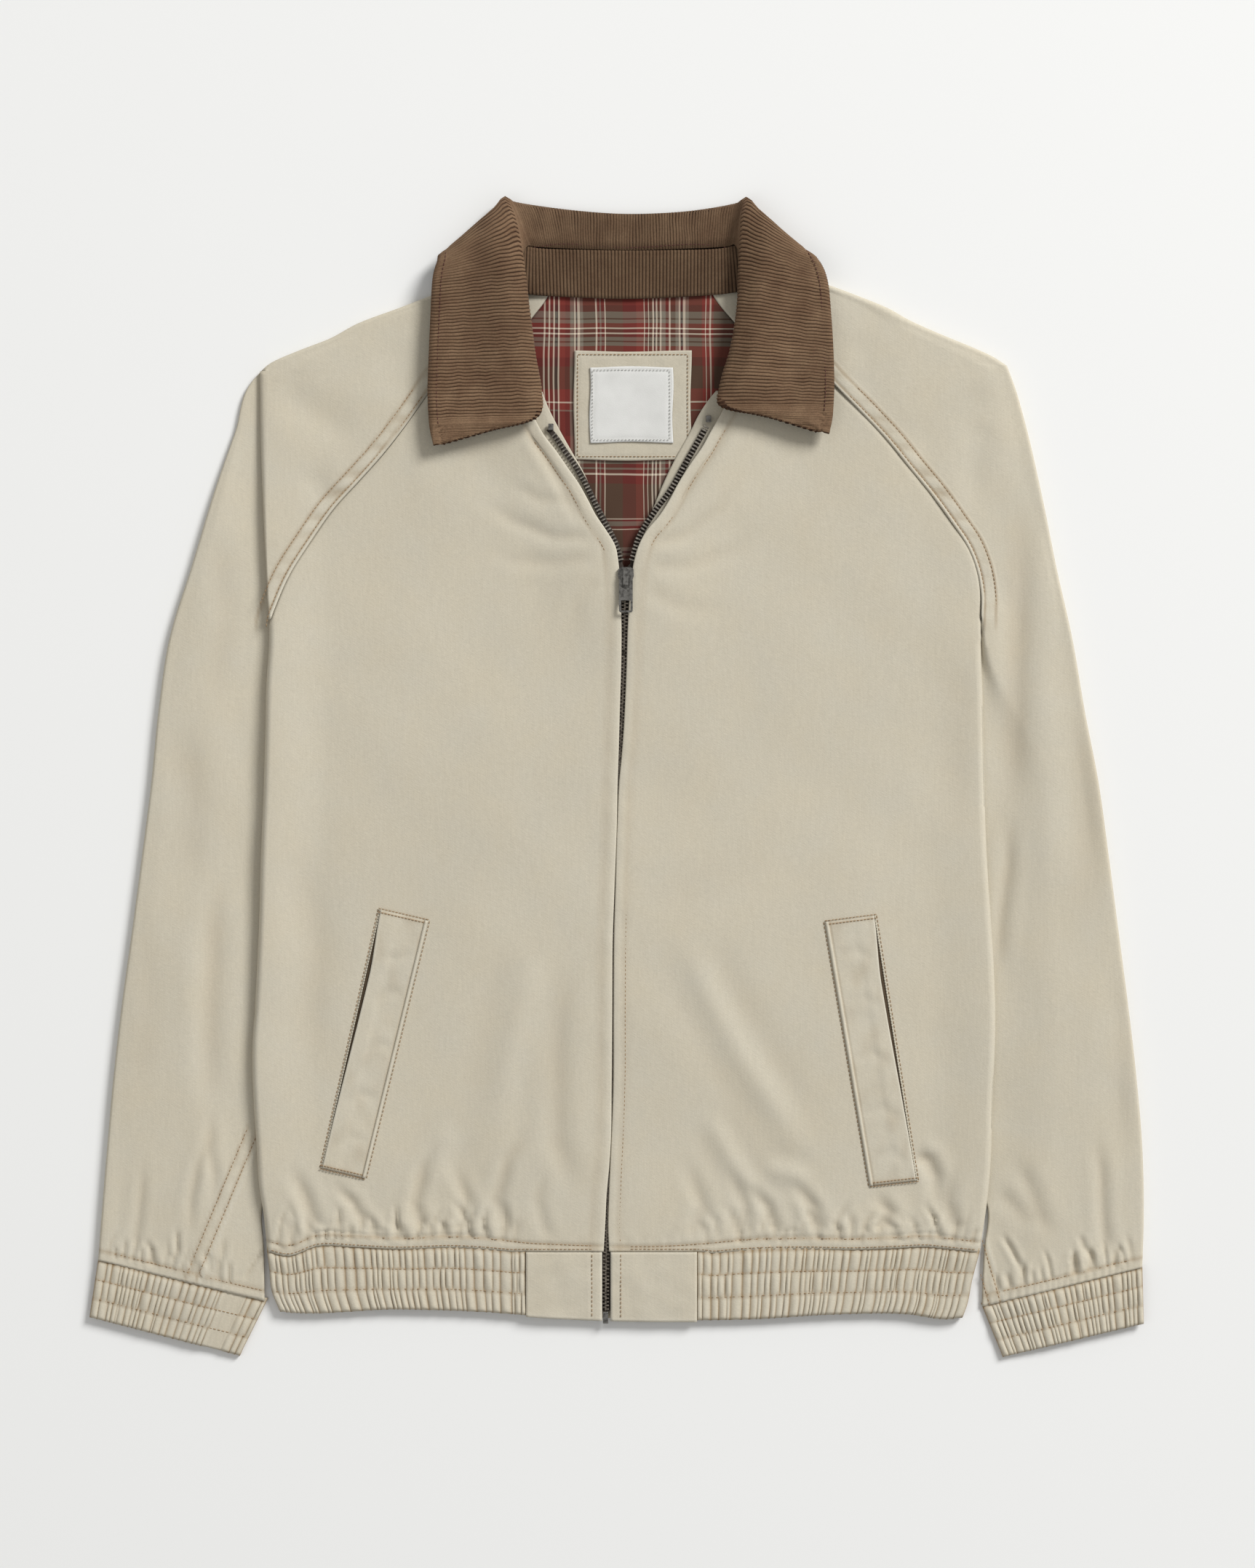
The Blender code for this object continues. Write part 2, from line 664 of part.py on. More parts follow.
COLLAR_UNDER = {"seam": 5.8, "roll": 3.9, "crown": 1.6, "edge": 1.4}
CROWN_RUN = 11.0
COLLAR_STEPS = 2
COLLAR_COLS = 7


def collar_point(s, t):
    """A point of the collar: s along its length in rows, t from the inner seam 0 to the outer edge 1."""
    columns = [COLLAR_TRACKS[k](s) for k in range(7)]
    over = min(max(columns[0], 0.0), 1.0)
    roll_x, roll_y, edge_x, edge_y, seam_x, seam_y = columns[1:]
    run = math.hypot(edge_x - roll_x, edge_y - roll_y)
    way = ((edge_x - roll_x) / run, (edge_y - roll_y) / run)
    level = {key: mix(COLLAR_UNDER[key], COLLAR_OVER[key], over) for key in COLLAR_OVER}
    points = [
        (seam_x, seam_y, level["seam"]),
        (roll_x, roll_y, level["roll"]),
        (roll_x + way[0] * CROWN_RUN, roll_y + way[1] * CROWN_RUN, level["crown"]),
        (mix(roll_x, edge_x, 0.6), mix(roll_y, edge_y, 0.6), mix(level["crown"], level["edge"], 0.6)),
        (edge_x, edge_y, level["edge"]),
    ]
    ats = (0.0, 0.2, 0.36, 0.68, 1.0)
    return [track(list(zip(ats, [point[k] for point in points])))(t) for k in range(3)]


COLLAR_TRACKS = [track([(s, row[k]) for s, row in enumerate(COLLAR_ROWS)]) for k in range(7)]


def make_collar(look, group):
    rows = COLLAR_STEPS * (len(COLLAR_ROWS) - 1)

    def place(row, col):
        return collar_point(row / COLLAR_STEPS, col / COLLAR_COLS)

    sheet("collar", rows, COLLAR_COLS, place, CORD, look, group)


# neck seam x, y, height; top seam x, y, height
STAND_ROWS = [
    (-76.0, 335.5, 9.0, -69.5, 351.0, 9.6),
    (-62.0, 333.6, 5.4, -62.5, 361.0, 6.6),
    (-46.0, 332.4, 4.2, -47.0, 364.6, 5.8),
    (8.0, 330.4, 4.1, 8.0, 363.0, 5.8),
    (66.0, 333.0, 4.2, 66.0, 364.4, 5.8),
    (85.0, 335.2, 5.4, 83.5, 361.5, 6.6),
    (99.0, 337.5, 9.4, 93.0, 351.0, 9.8),
]
STAND_TRACKS = [track([(s, row[k]) for s, row in enumerate(STAND_ROWS)]) for k in range(6)]


def make_stand(look, group):
    def place(row, col):
        s = row / 2
        t = col / 3
        return [mix(STAND_TRACKS[k](s), STAND_TRACKS[k + 3](s), t) for k in range(3)]

    sheet("collar_stand", 2 * (len(STAND_ROWS) - 1), 3, place, STAND, look, group)


# ---------------------------------------------------------------- inside of the neck

LINING_LEFT = track([(333, -46.0), (316.5, -58.0), (285, -80.0), (250, -92.0), (200, -92.0), (120, -70.0)])
LINING_RIGHT = track([(333, 67.0), (310.7, 84.5), (285, 101.0), (250, 112.0), (200, 110.0), (120, 84.0)])
SLEEVE_LINING_REACH = 26.0


def make_linings(plaid, khaki, white, group):
    def lining(row, col):
        y = mix(120, 329.5, row / 8)
        x = mix(LINING_LEFT(y), LINING_RIGHT(y), col / 6)
        return x, y, LINING_LEVEL

    sheet("lining_back", 8, 6, lining, LINING, plaid, group)
    for name, bound, side in (("sleeve_lining_left", LINING_LEFT, -1), ("sleeve_lining_right", LINING_RIGHT, 1)):
        def corner(row, col, bound=bound, side=side):
            y = mix(290, 329.5, row / 3)
            x = bound(y) + side * (SEAM + SLEEVE_LINING_REACH * col / 2)
            return x, y, LINING_LEVEL

        sheet(name, 3, 2, corner, LINING, khaki, group)
    patch = LINING_LEVEL + LINING / 2 + 0.3
    box("label_patch", (-28.5, 219.5, patch), (52.0, 294.5, patch + PATCH), khaki, group)
    card = patch + PATCH + 0.3
    box("label", (-17.6, 231.5, card), (39.5, 283.5, card + 0.8), white, group)


FACING_LEFT = track([(120, 2.0), (146, 2.5), (155, 1.0), (168, -3.0), (180, -8.0), (195, -15.0), (211, -22.0),
                     (225, -30.0), (243, -40.0), (255, -46.0), (268, -51.0)])
FACING_RIGHT = track([(120, 12.0), (150, 12.0), (162, 14.5), (172, 19.0), (181, 23.5), (190, 27.5),
                      (200, 31.5), (210, 36.0), (220, 41.0), (230, 46.5), (240, 52.0), (250, 57.0),
                      (262, 65.0), (268, 70.0)])


def make_facings(look, group):
    for name, bound, side in (("facing_left", FACING_LEFT, -1), ("facing_right", FACING_RIGHT, 1)):
        def place(row, col, bound=bound, side=side):
            y = mix(158, 267, row / 9)
            return bound(y) + side * (24.0 * col / 2), y, FACING_LEVEL

        sheet(name, 9, 2, place, LINING, look, group)


# ---------------------------------------------------------------- pockets

POCKETS = {
    # top inner, top outer, bottom inner, bottom outer, as seen from the zip
    "left": ((-131.0, -97.0), (-161.3, -90.0), (-174.0, -274.0), (-201.5, -267.5)),
    "right": ((146.3, -98.0), (177.6, -94.0), (177.0, -279.5), (206.5, -276.0)),
}
WELT_LIFT = 0.9


def make_pockets(look, group):
    for side, (top_in, top_out, low_in, low_out) in POCKETS.items():
        def welt(row, col, top_in=top_in, top_out=top_out, low_in=low_in, low_out=low_out):
            down = row / 10
            t = col / 3
            x = mix(mix(top_in[0], top_out[0], t), mix(low_in[0], low_out[0], t), down)
            y = mix(mix(top_in[1], top_out[1], t), mix(low_in[1], low_out[1], t), down)
            open_slit = WELT_LIFT * ease(t * 1.5 - 0.5) * math.sin(math.pi * down)
            return x, y, front_height(x, y) + (TWILL + TRIM) / 2 + 0.3 + open_slit

        def strip(row, col, top_in=top_in, top_out=top_out, low_in=low_in, low_out=low_out):
            down = mix(0.03, 0.97, row / 10)
            t = mix(1.01, 1.13, col)
            x = mix(mix(top_in[0], top_out[0], t), mix(low_in[0], low_out[0], t), down)
            y = mix(mix(top_in[1], top_out[1], t), mix(low_in[1], low_out[1], t), down)
            return x, y, front_height(x, y) + (TWILL + TRIM) / 2 + 0.3

        sheet("welt_" + side, 10, 3, welt, TRIM, look, group)
        sheet("pocket_facing_" + side, 10, 1, strip, TRIM, look, group)


# ---------------------------------------------------------------- zip

TEETH_LEFT = track([(240.4, -45.0), (228, -34.6), (212.5, -24.3), (197, -15.5), (176.5, -6.2), (165, -0.4),
                    (157, 2.6), (149, 4.2)])
TEETH_RIGHT = track([(246, 64.4), (234, 57.8), (216, 47.6), (200, 38.7), (184, 27.0), (167.7, 16.7),
                     (150, 10.8)])
TAPE_WIDE = 11.0
TEETH_WIDE = 2.6
CHAIN_WIDE = 3.4
CHAIN_THICK = 1.6


def chain_centre(piece, y):
    """The middle of one half of the zip: the teeth line in the V, half a chain beside the zip below it."""
    if y > 147:
        return TEETH_LEFT(y) if piece is LEFT else TEETH_RIGHT(y)
    return ZIP(y)


def make_zip(tape, metal, group):
    rows = [-366, -320, -270, -210, -150, -90, -30, 20, 70, 110, 130, 144, 152, 166, 182, 198, 214, 230, 240]
    for name, piece in (("zip_tape_left", LEFT), ("zip_tape_right", RIGHT)):
        side = piece["side"]

        def place(row, col, piece=piece, side=side):
            y = rows[row]
            near = chain_centre(piece, y) + side * mix(0.3, 1.6, ease((y - 134) / 8))
            if y > 147:
                near = chain_centre(piece, y) - side * 0.6
            return near + side * TAPE_WIDE * col / 2, y, TAPE_LEVEL + neck_lift(y)

        sheet(name, len(rows) - 1, 2, place, LINING, tape, group)

    closed = [y for y in rows if y <= 110] + [130.5]

    def chain(row, col):
        y = closed[row]
        return ZIP(y) + CHAIN_WIDE * (col - 0.5), y, CHAIN_LEVEL + neck_lift(y)

    sheet("zip_chain", len(closed) - 1, 1, chain, CHAIN_THICK, metal, group)
    for name, teeth, top in (("zip_teeth_left", TEETH_LEFT, 239.0), ("zip_teeth_right", TEETH_RIGHT, 244.5)):
        def half(row, col, teeth=teeth, top=top):
            y = mix(149.5, top, row / 10)
            return teeth(y) + TEETH_WIDE * (col - 0.5), y, CHAIN_LEVEL + NECK_LIFT

        sheet(name, 10, 1, half, CHAIN_THICK, metal, group)
    low = CHAIN_LEVEL - CHAIN_THICK / 2
    for name, teeth, y in (("zip_stop_left", TEETH_LEFT, 239.6), ("zip_stop_right", TEETH_RIGHT, 245.1)):
        x = teeth(y)
        stop = low + NECK_LIFT
        box(name, (x - 1.8, y, stop), (x + 1.8, y + 4.5, stop + 2.0), metal, group, 0.3)
    foot = ZIP(-366)
    box("zip_box", (foot - 1.8, -374.5, low), (foot + 1.8, -366.4, low + 1.8), metal, group, 0.4)


SLIDER = {"x": 7.1, "top": 145.4, "low": 131.2, "wide": 11.0, "tail": 7.0, "plate": 1.2}
PLATE_TOP = 11.4
BRIDGE = {"wide": 3.7, "top": 144.5, "low": 132.8, "foot": 1.2, "gap": 2.0, "thick": 1.2}
PIVOT_Y = 138.7
PIVOT_Z = PLATE_TOP + 1.0
PULL = {"wide": 9.4, "thick": 1.2, "top": 139.4, "low": 114.2}
PULL_SLOT = {"wide": 5.0, "top": 138.0, "low": 131.0}
PULL_WINDOW = {"wide": 6.4, "top": 122.4, "low": 115.5}


def plate_mesh(name, outline, low, high):
    """A flat plate from a short outline, as a closed mesh."""
    shape = bmesh.new()
    ring = [shape.verts.new((x * MM, y * MM, low * MM)) for x, y in outline]
    face = shape.faces.new(ring)
    lifted = bmesh.ops.extrude_face_region(shape, geom=[face])
    moved = [item for item in lifted["geom"] if isinstance(item, bmesh.types.BMVert)]
    bmesh.ops.translate(shape, verts=moved, vec=(0, 0, (high - low) * MM))
    bmesh.ops.recalc_face_normals(shape, faces=shape.faces)
    mesh = bpy.data.meshes.new(name)
    shape.to_mesh(mesh)
    shape.free()
    return mesh


def join(target, tools, operation, cutters):
    """Boolean each tool into the target; the tools go to the cutters' collection."""
    for tool in tools:
        for group in list(tool.users_collection):
            group.objects.unlink(tool)
        cutters.objects.link(tool)
        tool.hide_render = True
        tool.display_type = "WIRE"
        cut = target.modifiers.new(tool.name, "BOOLEAN")
        cut.operation = operation
        cut.object = tool


def slider_outline():
    x, wide, tail = SLIDER["x"], SLIDER["wide"] / 2, SLIDER["tail"] / 2
    top, low = SLIDER["top"], SLIDER["low"]
    half = [(wide * 0.62, top), (wide - 0.3, top - 1.5), (wide, top - 6.0), (tail + 0.6, low + 4.0), (tail, low)]
    return [(x + dx, y) for dx, y in half] + [(x - dx, y) for dx, y in reversed(half)]


def make_slider(metal, group, cutters):
    plate = SLIDER["plate"]
    under = TAPE_LEVEL + NECK_LIFT - LINING / 2 - 0.4
    slider = add("zip_slider", plate_mesh("zip_slider", slider_outline(), PLATE_TOP - plate, PLATE_TOP), metal,
                 group)
    base = add("slider_base", plate_mesh("slider_base", slider_outline(), under - 0.9, under), metal, group)
    x = SLIDER["x"]
    post = box("slider_post", (x - 1.0, SLIDER["top"] - 2.6, under - 0.5),
               (x + 1.0, SLIDER["top"] - 0.5, PLATE_TOP - 0.5), metal, group)
    half = BRIDGE["wide"] / 2
    deck = PLATE_TOP + BRIDGE["gap"]
    roof = deck + BRIDGE["thick"]
    sunk = PLATE_TOP - 0.5
    beam = box("bridge_beam", (x - half, BRIDGE["low"], deck), (x + half, BRIDGE["top"], roof), metal, group)
    front = box("bridge_front", (x - half + 0.05, BRIDGE["top"] - BRIDGE["foot"], sunk),
                (x + half - 0.05, BRIDGE["top"] - 0.05, deck + 0.5), metal, group)
    rear = box("bridge_rear", (x - half + 0.05, BRIDGE["low"] + 0.05, sunk),
               (x + half - 0.05, BRIDGE["low"] + BRIDGE["foot"], deck + 0.5), metal, group)
    join(slider, (post, base, front, rear, beam), "UNION", cutters)


def make_pull(metal, group, cutters):
    x = SLIDER["x"]
    half = PULL["wide"] / 2
    low, top = PULL["low"], PULL["top"]
    outline = [(x - half, top), (x - half, low + 1.2), (x - half + 0.4, low + 0.4), (x - half + 1.2, low),
               (x + half - 1.2, low), (x + half - 0.4, low + 0.4), (x + half, low + 1.2), (x + half, top)]
    outline = [(px, py - PIVOT_Y) for px, py in outline]
    thick = PULL["thick"] / 2
    pull = add("pull_tab", plate_mesh("pull_tab", outline, -thick, thick), metal, group)
    for name, hole in (("pull_slot", PULL_SLOT), ("pull_window", PULL_WINDOW)):
        wide = hole["wide"] / 2
        cutter = box(name, (x - wide, hole["low"] - PIVOT_Y, -2), (x + wide, hole["top"] - PIVOT_Y, 2), metal,
                     group)
        cutter.location = (0, PIVOT_Y * MM, PIVOT_Z * MM)
        join(pull, (cutter,), "DIFFERENCE", cutters)
    pull.location = (0, PIVOT_Y * MM, PIVOT_Z * MM)


# ---------------------------------------------------------------- the jacket

def clear():
    for thing in list(bpy.data.objects):
        bpy.data.objects.remove(thing, do_unlink=True)


def main():
    clear()
    group = bpy.data.collections.new("barn_jacket")
    cutters = bpy.data.collections.new("cutters")
    bpy.context.scene.collection.children.link(group)
    bpy.context.scene.collection.children.link(cutters)
    khaki = material("khaki_twill", KHAKI, 0.9)
    brown = material("brown_corduroy", BROWN, 0.95)
    plaid = material("plaid_cotton", PLAID, 0.9)
    white = material("white_label", WHITE, 0.7)
    tape = material("zip_tape", DARK_TAPE, 0.9)
    metal = material("gunmetal", GUNMETAL, 0.35, 1.0)
    make_back(khaki, group)
    make_fronts(khaki, group)
    make_sleeves(khaki, group)
    make_cuffs(khaki, group)
    make_hem(khaki, group)
    make_collar(brown, group)
    make_stand(brown, group)
    make_linings(plaid, khaki, white, group)
    make_facings(khaki, group)
    make_pockets(khaki, group)
    make_zip(tape, metal, group)
    make_slider(metal, group, cutters)
    make_pull(metal, group, cutters)


main()
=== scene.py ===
"""Zip-front raglan jacket, laid flat on its back: the finished cloth, stitching, zip and light.

Every size below is in millimetres, and becomes metres where a mesh is made.
Frame: X to the viewer's right, Y towards the neck, Z up. "left" and "right" are the viewer's.
"""
import math
from functools import partial

import bmesh
import bpy
import numpy as np
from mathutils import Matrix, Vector


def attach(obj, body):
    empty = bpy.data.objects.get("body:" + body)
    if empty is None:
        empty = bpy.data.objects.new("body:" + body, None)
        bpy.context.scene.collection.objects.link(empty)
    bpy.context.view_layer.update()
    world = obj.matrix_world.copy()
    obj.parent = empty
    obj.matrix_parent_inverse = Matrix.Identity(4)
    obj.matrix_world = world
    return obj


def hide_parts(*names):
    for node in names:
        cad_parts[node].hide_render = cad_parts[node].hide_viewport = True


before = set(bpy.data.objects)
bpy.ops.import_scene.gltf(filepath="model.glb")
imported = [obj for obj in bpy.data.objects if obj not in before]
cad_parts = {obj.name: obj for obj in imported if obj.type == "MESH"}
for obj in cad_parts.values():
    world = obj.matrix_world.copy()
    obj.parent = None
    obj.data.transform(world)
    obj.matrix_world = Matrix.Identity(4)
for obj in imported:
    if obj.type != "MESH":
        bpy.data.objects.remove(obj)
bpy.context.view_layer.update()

MM = 0.001
BODY = "jacket"

# cloth walls
TWILL = 1.0
BACK_WALL = 1.4
TAB_WALL = 1.4
CORD = 2.0
STAND_WALL = 1.8
LINING = 0.8
PATCH = 0.9
LABEL = 0.5
TAPE = 0.7
SEAM = 0.35

# levels of the stacked layers, at the middle of a wall
FLOOR = 0.75
LAYER = 2.2
UNDER = FLOOR + LAYER
OVER = UNDER + LAYER
SLEEVE_TOP = 6.2
FRONT_TOP = 6.4
LINING_LEVEL = 2.3
FACING_LEVEL = 5.3
NECK_LIFT = 2.0
ZIP_TOP = 6.6
TAPE_LEVEL = 4.6
CHAIN_LEVEL = 6.2

HEM_Y = -325.0
LOW_Y = -284.0
ARM_LEFT_Y = 109.0
ARM_RIGHT_Y = 112.0
NECK_Y = 322.0


# ---------------------------------------------------------------- curves

def curve(ats, values):
    """A smooth curve through values, numbers or arrays, that are given at some places."""
    ats = np.asarray(ats, float)
    slopes = np.gradient(values, ats, axis=0)
    more = (1,) * (values.ndim - 1)

    def read(at):
        at = np.clip(at, ats[0], ats[-1])
        k = np.clip(np.searchsorted(ats, at, side="right") - 1, 0, len(ats) - 2)
        span = ats[k + 1] - ats[k]
        t = (at - ats[k]) / span
        if more:
            t, span = t.reshape(-1, *more), span.reshape(-1, *more)
        rise = values[k] * (2 * t ** 3 - 3 * t ** 2 + 1) + values[k + 1] * (3 * t ** 2 - 2 * t ** 3)
        lean = slopes[k] * (t ** 3 - 2 * t ** 2 + t) + slopes[k + 1] * (t ** 3 - t ** 2)
        return rise + span * lean

    return read


def track(rows):
    """A smooth curve through rows of (at, value)."""
    ats, values = np.array(sorted(rows), float).T
    return curve(ats, values)


def ease(t):
    """Zero below 0, one above 1, smooth between."""
    t = np.clip(t, 0.0, 1.0)
    return t * t * (3 - 2 * t)


def mix(a, b, t):
    return a + (b - a) * t


def bell(far, wide):
    """One on a line, falling off to nothing at about twice its width."""
    return np.exp(-(far / wide) ** 2)


def spaced(*stretches):
    """Places from stretches of (start, stop, step), each stretch cut into even steps."""
    places = []
    for start, stop, step in stretches:
        count = max(1, round(abs(stop - start) / step))
        places.extend(np.linspace(start, stop, count, endpoint=False))
    places.append(stretches[-1][1])
    return np.array(places)


def run_length(points):
    """Length along a row of points, from its start to each of them."""
    return np.concatenate([[0], np.cumsum(np.linalg.norm(np.diff(points, axis=0), axis=-1))])


def share(count, first=0):
    """Even fractions across a zone of columns."""
    return np.linspace(0, 1, count + 1)[None, first:]


ZIP = track([
    (147, 7), (110, 6.3), (80, 5.8), (50, 4.7), (20, 3.4), (-4, 2), (-30, 1.1), (-85, -0.6), (-160, -1.8),
    (-240, -2.8), (-273, -4.6), (-322, -6.3), (-373, -6.9),
])

# Both halves of the garment; each curve gives x at y. inner: the edge beside the zip; raglan, back_raglan: the
# sleeve's seams; edge: the body's side fold; shoulder: the edge above the shoulder's tip; outer, hidden: the sleeve's
# outer edge and the one that lies under the body; rise: how much of its rise the side has; fold_top: where the side
# fold ends; row_top: where the row beside the zip ends; the seeds are for the cloth's small unevenness.
LEFT = {
    "name": "left",
    "side": -1,
    "inner": track([
        (-325, -8.6), (-308, -7.6), (-287, -6.6), (-264, -4.6), (-250, -3.7), (-212, -3.1), (-160, -2.7),
        (-107, -2.3), (-74, -1.1), (-30, 0.5), (-4, 1), (20, 1.8), (50, 2.6), (80, 3.5), (110, 3.6), (130, 3),
        (147, 1.8), (153, 1), (159, -0.2), (171, -7), (181, -13.8), (191, -19), (204, -26.4), (213, -32.8),
        (226, -41.8), (235, -48.8), (247, -55.6), (265, -61.5), (285, -68), (305, -77), (322, -87),
    ]),
    "raglan": track([
        (97, -237.3), (109, -236.6), (121, -232.4), (140, -224), (162.4, -210), (186.5, -193), (205.4, -175.7),
        (222.6, -160.3), (238, -148), (263, -130), (290, -110), (322, -87),
    ]),
    "edge": track([
        (280, -244), (222.6, -243), (174.4, -241), (126.3, -238.6), (97, -237.3), (64.4, -239.3), (30, -240),
        (-3, -241), (-52.5, -243), (-103, -244.5), (-153.5, -247), (-185.5, -249), (-223.5, -248), (-253.5, -246),
        (-278.5, -244.5), (-302.5, -241), (-314.5, -240), (-325, -239.5),
    ]),
    "shoulder": track([
        (280, -244), (285.5, -237.6), (294.7, -217), (302, -198), (313.6, -176), (324, -148), (332, -127),
        (340, -106), (346, -90),
    ]),
    "outer": track([
        (280, -244), (277, -247), (238, -261.7), (198.5, -275.4), (147, -291), (97, -306.4), (47, -314), (-3, -319),
        (-52.5, -325.3), (-103, -332), (-153.5, -339), (-203.5, -344.8), (-253.5, -349.3), (-303.5, -353.4),
        (-331, -355.5),
    ]),
    "hidden": track([
        (280, -244), (268, -241.5), (240, -236), (180, -222), (109, -206.5), (97, -205.5), (0, -212), (-105, -218),
        (-200, -222), (-262, -230), (-290, -243.6), (-310, -242.2), (-331, -241.6), (-360, -241),
    ]),
    "back_raglan": track([(109, -207.5), (140, -194), (200, -160), (263, -122), (300, -98), (322, -84)]),
    "rise": track([(310, 0), (290, 0.04), (275, 0.2), (245, 0.65), (200, 1), (-300, 1), (-325, 0.6)]),
    "cuff_start": -331,
    "tip": 280,
    "fold_top": 108.6,
    "row_top": 236,
    "front_seed": 11,
    "cap_seed": 41,
    "welt_seed": 121,
}

RIGHT = {
    "name": "right",
    "side": 1,
    "inner": track([
        (-325, -4), (-308, -4.7), (-287, -4.1), (-264, -3.2), (-250, -2.5), (-212, -1.1), (-160, -0.9), (-107, -0.5),
        (-74, 0.4), (-30, 1.7), (-4, 2.8), (20, 5), (50, 6.9), (80, 8.1), (110, 9.1), (130, 10.4), (147, 12.6),
        (160, 16.2), (170, 21.5), (180, 30), (190, 36.5), (203, 43.5), (215, 51), (228, 60), (238, 65.5), (250, 72.5),
        (265, 80), (285, 90), (305, 99), (322, 108),
    ]),
    "raglan": track([
        (112, 251), (126.3, 251.2), (143.5, 248.4), (160.7, 241.6), (176, 231.3), (195, 217.5), (214, 202),
        (233, 186.6), (255, 166), (270.7, 150.5), (295, 129), (322, 108),
    ]),
    "edge": track([
        (126, 251), (97, 250.6), (50, 252), (0, 253), (-50, 254.5), (-90, 257), (-130, 259.5), (-160, 260.5),
        (-190, 260), (-225, 258.5), (-250, 258), (-280, 256), (-305, 253), (-318, 251), (-325, 250.2),
    ]),
    "shoulder": track([
        (284, 269), (290.6, 258.8), (295.4, 248.4), (306.8, 221), (315.4, 202), (324, 186.5), (331, 169.4),
        (340, 145), (346, 128), (350, 115),
    ]),
    "outer": track([
        (284, 269), (270.7, 274), (246.6, 281), (195, 293), (143.5, 303.4), (97, 313.8), (47, 322.4), (-3, 332),
        (-53.5, 339), (-103.5, 345.5), (-153.5, 352), (-203.5, 357.8), (-253.5, 362), (-303.5, 363), (-336, 362),
    ]),
    "hidden": track([
        (112, 251.4), (106, 251.4), (100, 247), (90, 241), (50, 233), (0, 229), (-105, 228), (-200, 229), (-262, 238),
        (-290, 256.4), (-310, 254), (-336, 252.4), (-363, 253),
    ]),
    "back_raglan": track([(100, 246), (126, 236), (160, 214), (200, 184), (263, 143), (300, 119), (322, 104)]),
    "rise": track([
        (300, 0), (190, 0.05), (150, 0.2), (126, 0.4), (98, 0.75), (60, 0.95), (-20, 1), (-300, 1), (-325, 0.6),
    ]),
    "cuff_start": -336,
    "tip": 284,
    "fold_top": 97,
    "row_top": 244,
    "front_seed": 21,
    "cap_seed": 43,
    "welt_seed": 123,
}

SIDES = (LEFT, RIGHT)

# ---------------------------------------------------------------- heights of the pressed shape

EDGE_RISE = 2.4
EDGE_REACH = 44.0
FLAP_REACH = 7.5
FLAP_START = 10.0
RETURN = 14.0
FOLD_SQUASH = 0.32


def inside(piece, x, y):
    """How far x lies inside the body's side edge, or the shoulder line above the tip."""
    edge = np.where(y < piece["tip"], piece["edge"](y), piece["shoulder"](y))
    return -piece["side"] * (x - edge)


def off_curve(piece, key, x, y):
    """How far a point lies outward from one of a piece's curves, square to it."""
    bound = piece[key]
    slope = (bound(y + 1) - bound(y - 1)) / 2
    return piece["side"] * (x - bound(y)) / np.sqrt(1 + slope ** 2)


def neck_lift(y):
    """How far the zip and its tapes stand above their level at the hem."""
    return NECK_LIFT * ease((y - 60) / 70)


def zip_height(piece, x, y):
    """The front layer's height without its rise at the side: highest beside the zip."""
    beside_zip = ZIP_TOP + neck_lift(y)
    level = mix(beside_zip, FRONT_TOP, ease((abs(x - piece["inner"](y)) - 14) / 50))
    return mix(level, beside_zip, ease((y - 235) / 30) * ease((125 - abs(x - 7)) / 40))


def front_height(piece, x, y):
    """Middle of the front layer's wall, over the body and the raglan caps."""
    depth = inside(piece, x, y)
    return zip_height(piece, x, y) + EDGE_RISE * piece["rise"](y) * ease(1 - depth / EDGE_REACH)


def rounded(level, depth, radius):
    """Height of a layer that turns down at its edge with a pressed fold, tighter in plan than it is high."""
    near = 1 - np.clip(depth / (FOLD_SQUASH * radius), 0.0, 1.0)
    return level - radius + radius * np.sqrt(np.maximum(1 - near ** 2, 0.0))


def fold_height(y):
    """The layer folded under at the body's side: over the sleeve, and down on the surface at the hem."""
    return mix(OVER, FLOOR, ease((LOW_Y - y) / (LOW_Y - HEM_Y)))


def sleeve_height(piece, x, y):
    """The sleeve's front layer: pressed flat where the body lies on it."""
    out = piece["side"] * (x - piece["edge"](y))
    if piece is LEFT:
        return mix(SLEEVE_TOP, UNDER, 1 - ease((out - 3) / 42))
    below = ARM_RIGHT_Y - y
    reach = mix(2.5, 42, ease((below - 12) / 110))
    pressed = (1 - ease((out - 3 * ease(below / 90)) / reach)) * ease(below / 12)
    cap = front_height(piece, np.minimum(x, 250), np.maximum(y, ARM_RIGHT_Y))
    near = (1 - ease((x - 246) / 34)) * ease(1 - below / 60)
    return mix(mix(SLEEVE_TOP, cap, near), UNDER, pressed)


# ---------------------------------------------------------------- creases and soft swells

def swell(x, y, scale, seed, stretch=1.0):
    """Soft uneven rise and fall of cloth, about -1 to 1, with waves about scale long."""
    rng = np.random.default_rng(seed)
    total = 0.0
    waves = 9
    for _ in range(waves):
        angle = rng.uniform(0, 2 * math.pi)
        length = scale * rng.uniform(0.7, 1.9)
        phase = rng.uniform(0, 2 * math.pi)
        along = x * math.cos(angle) + y * math.sin(angle) / stretch
        total = total + np.sin(2 * math.pi * along / length + phase)
    return total / waves ** 0.5 / 1.2


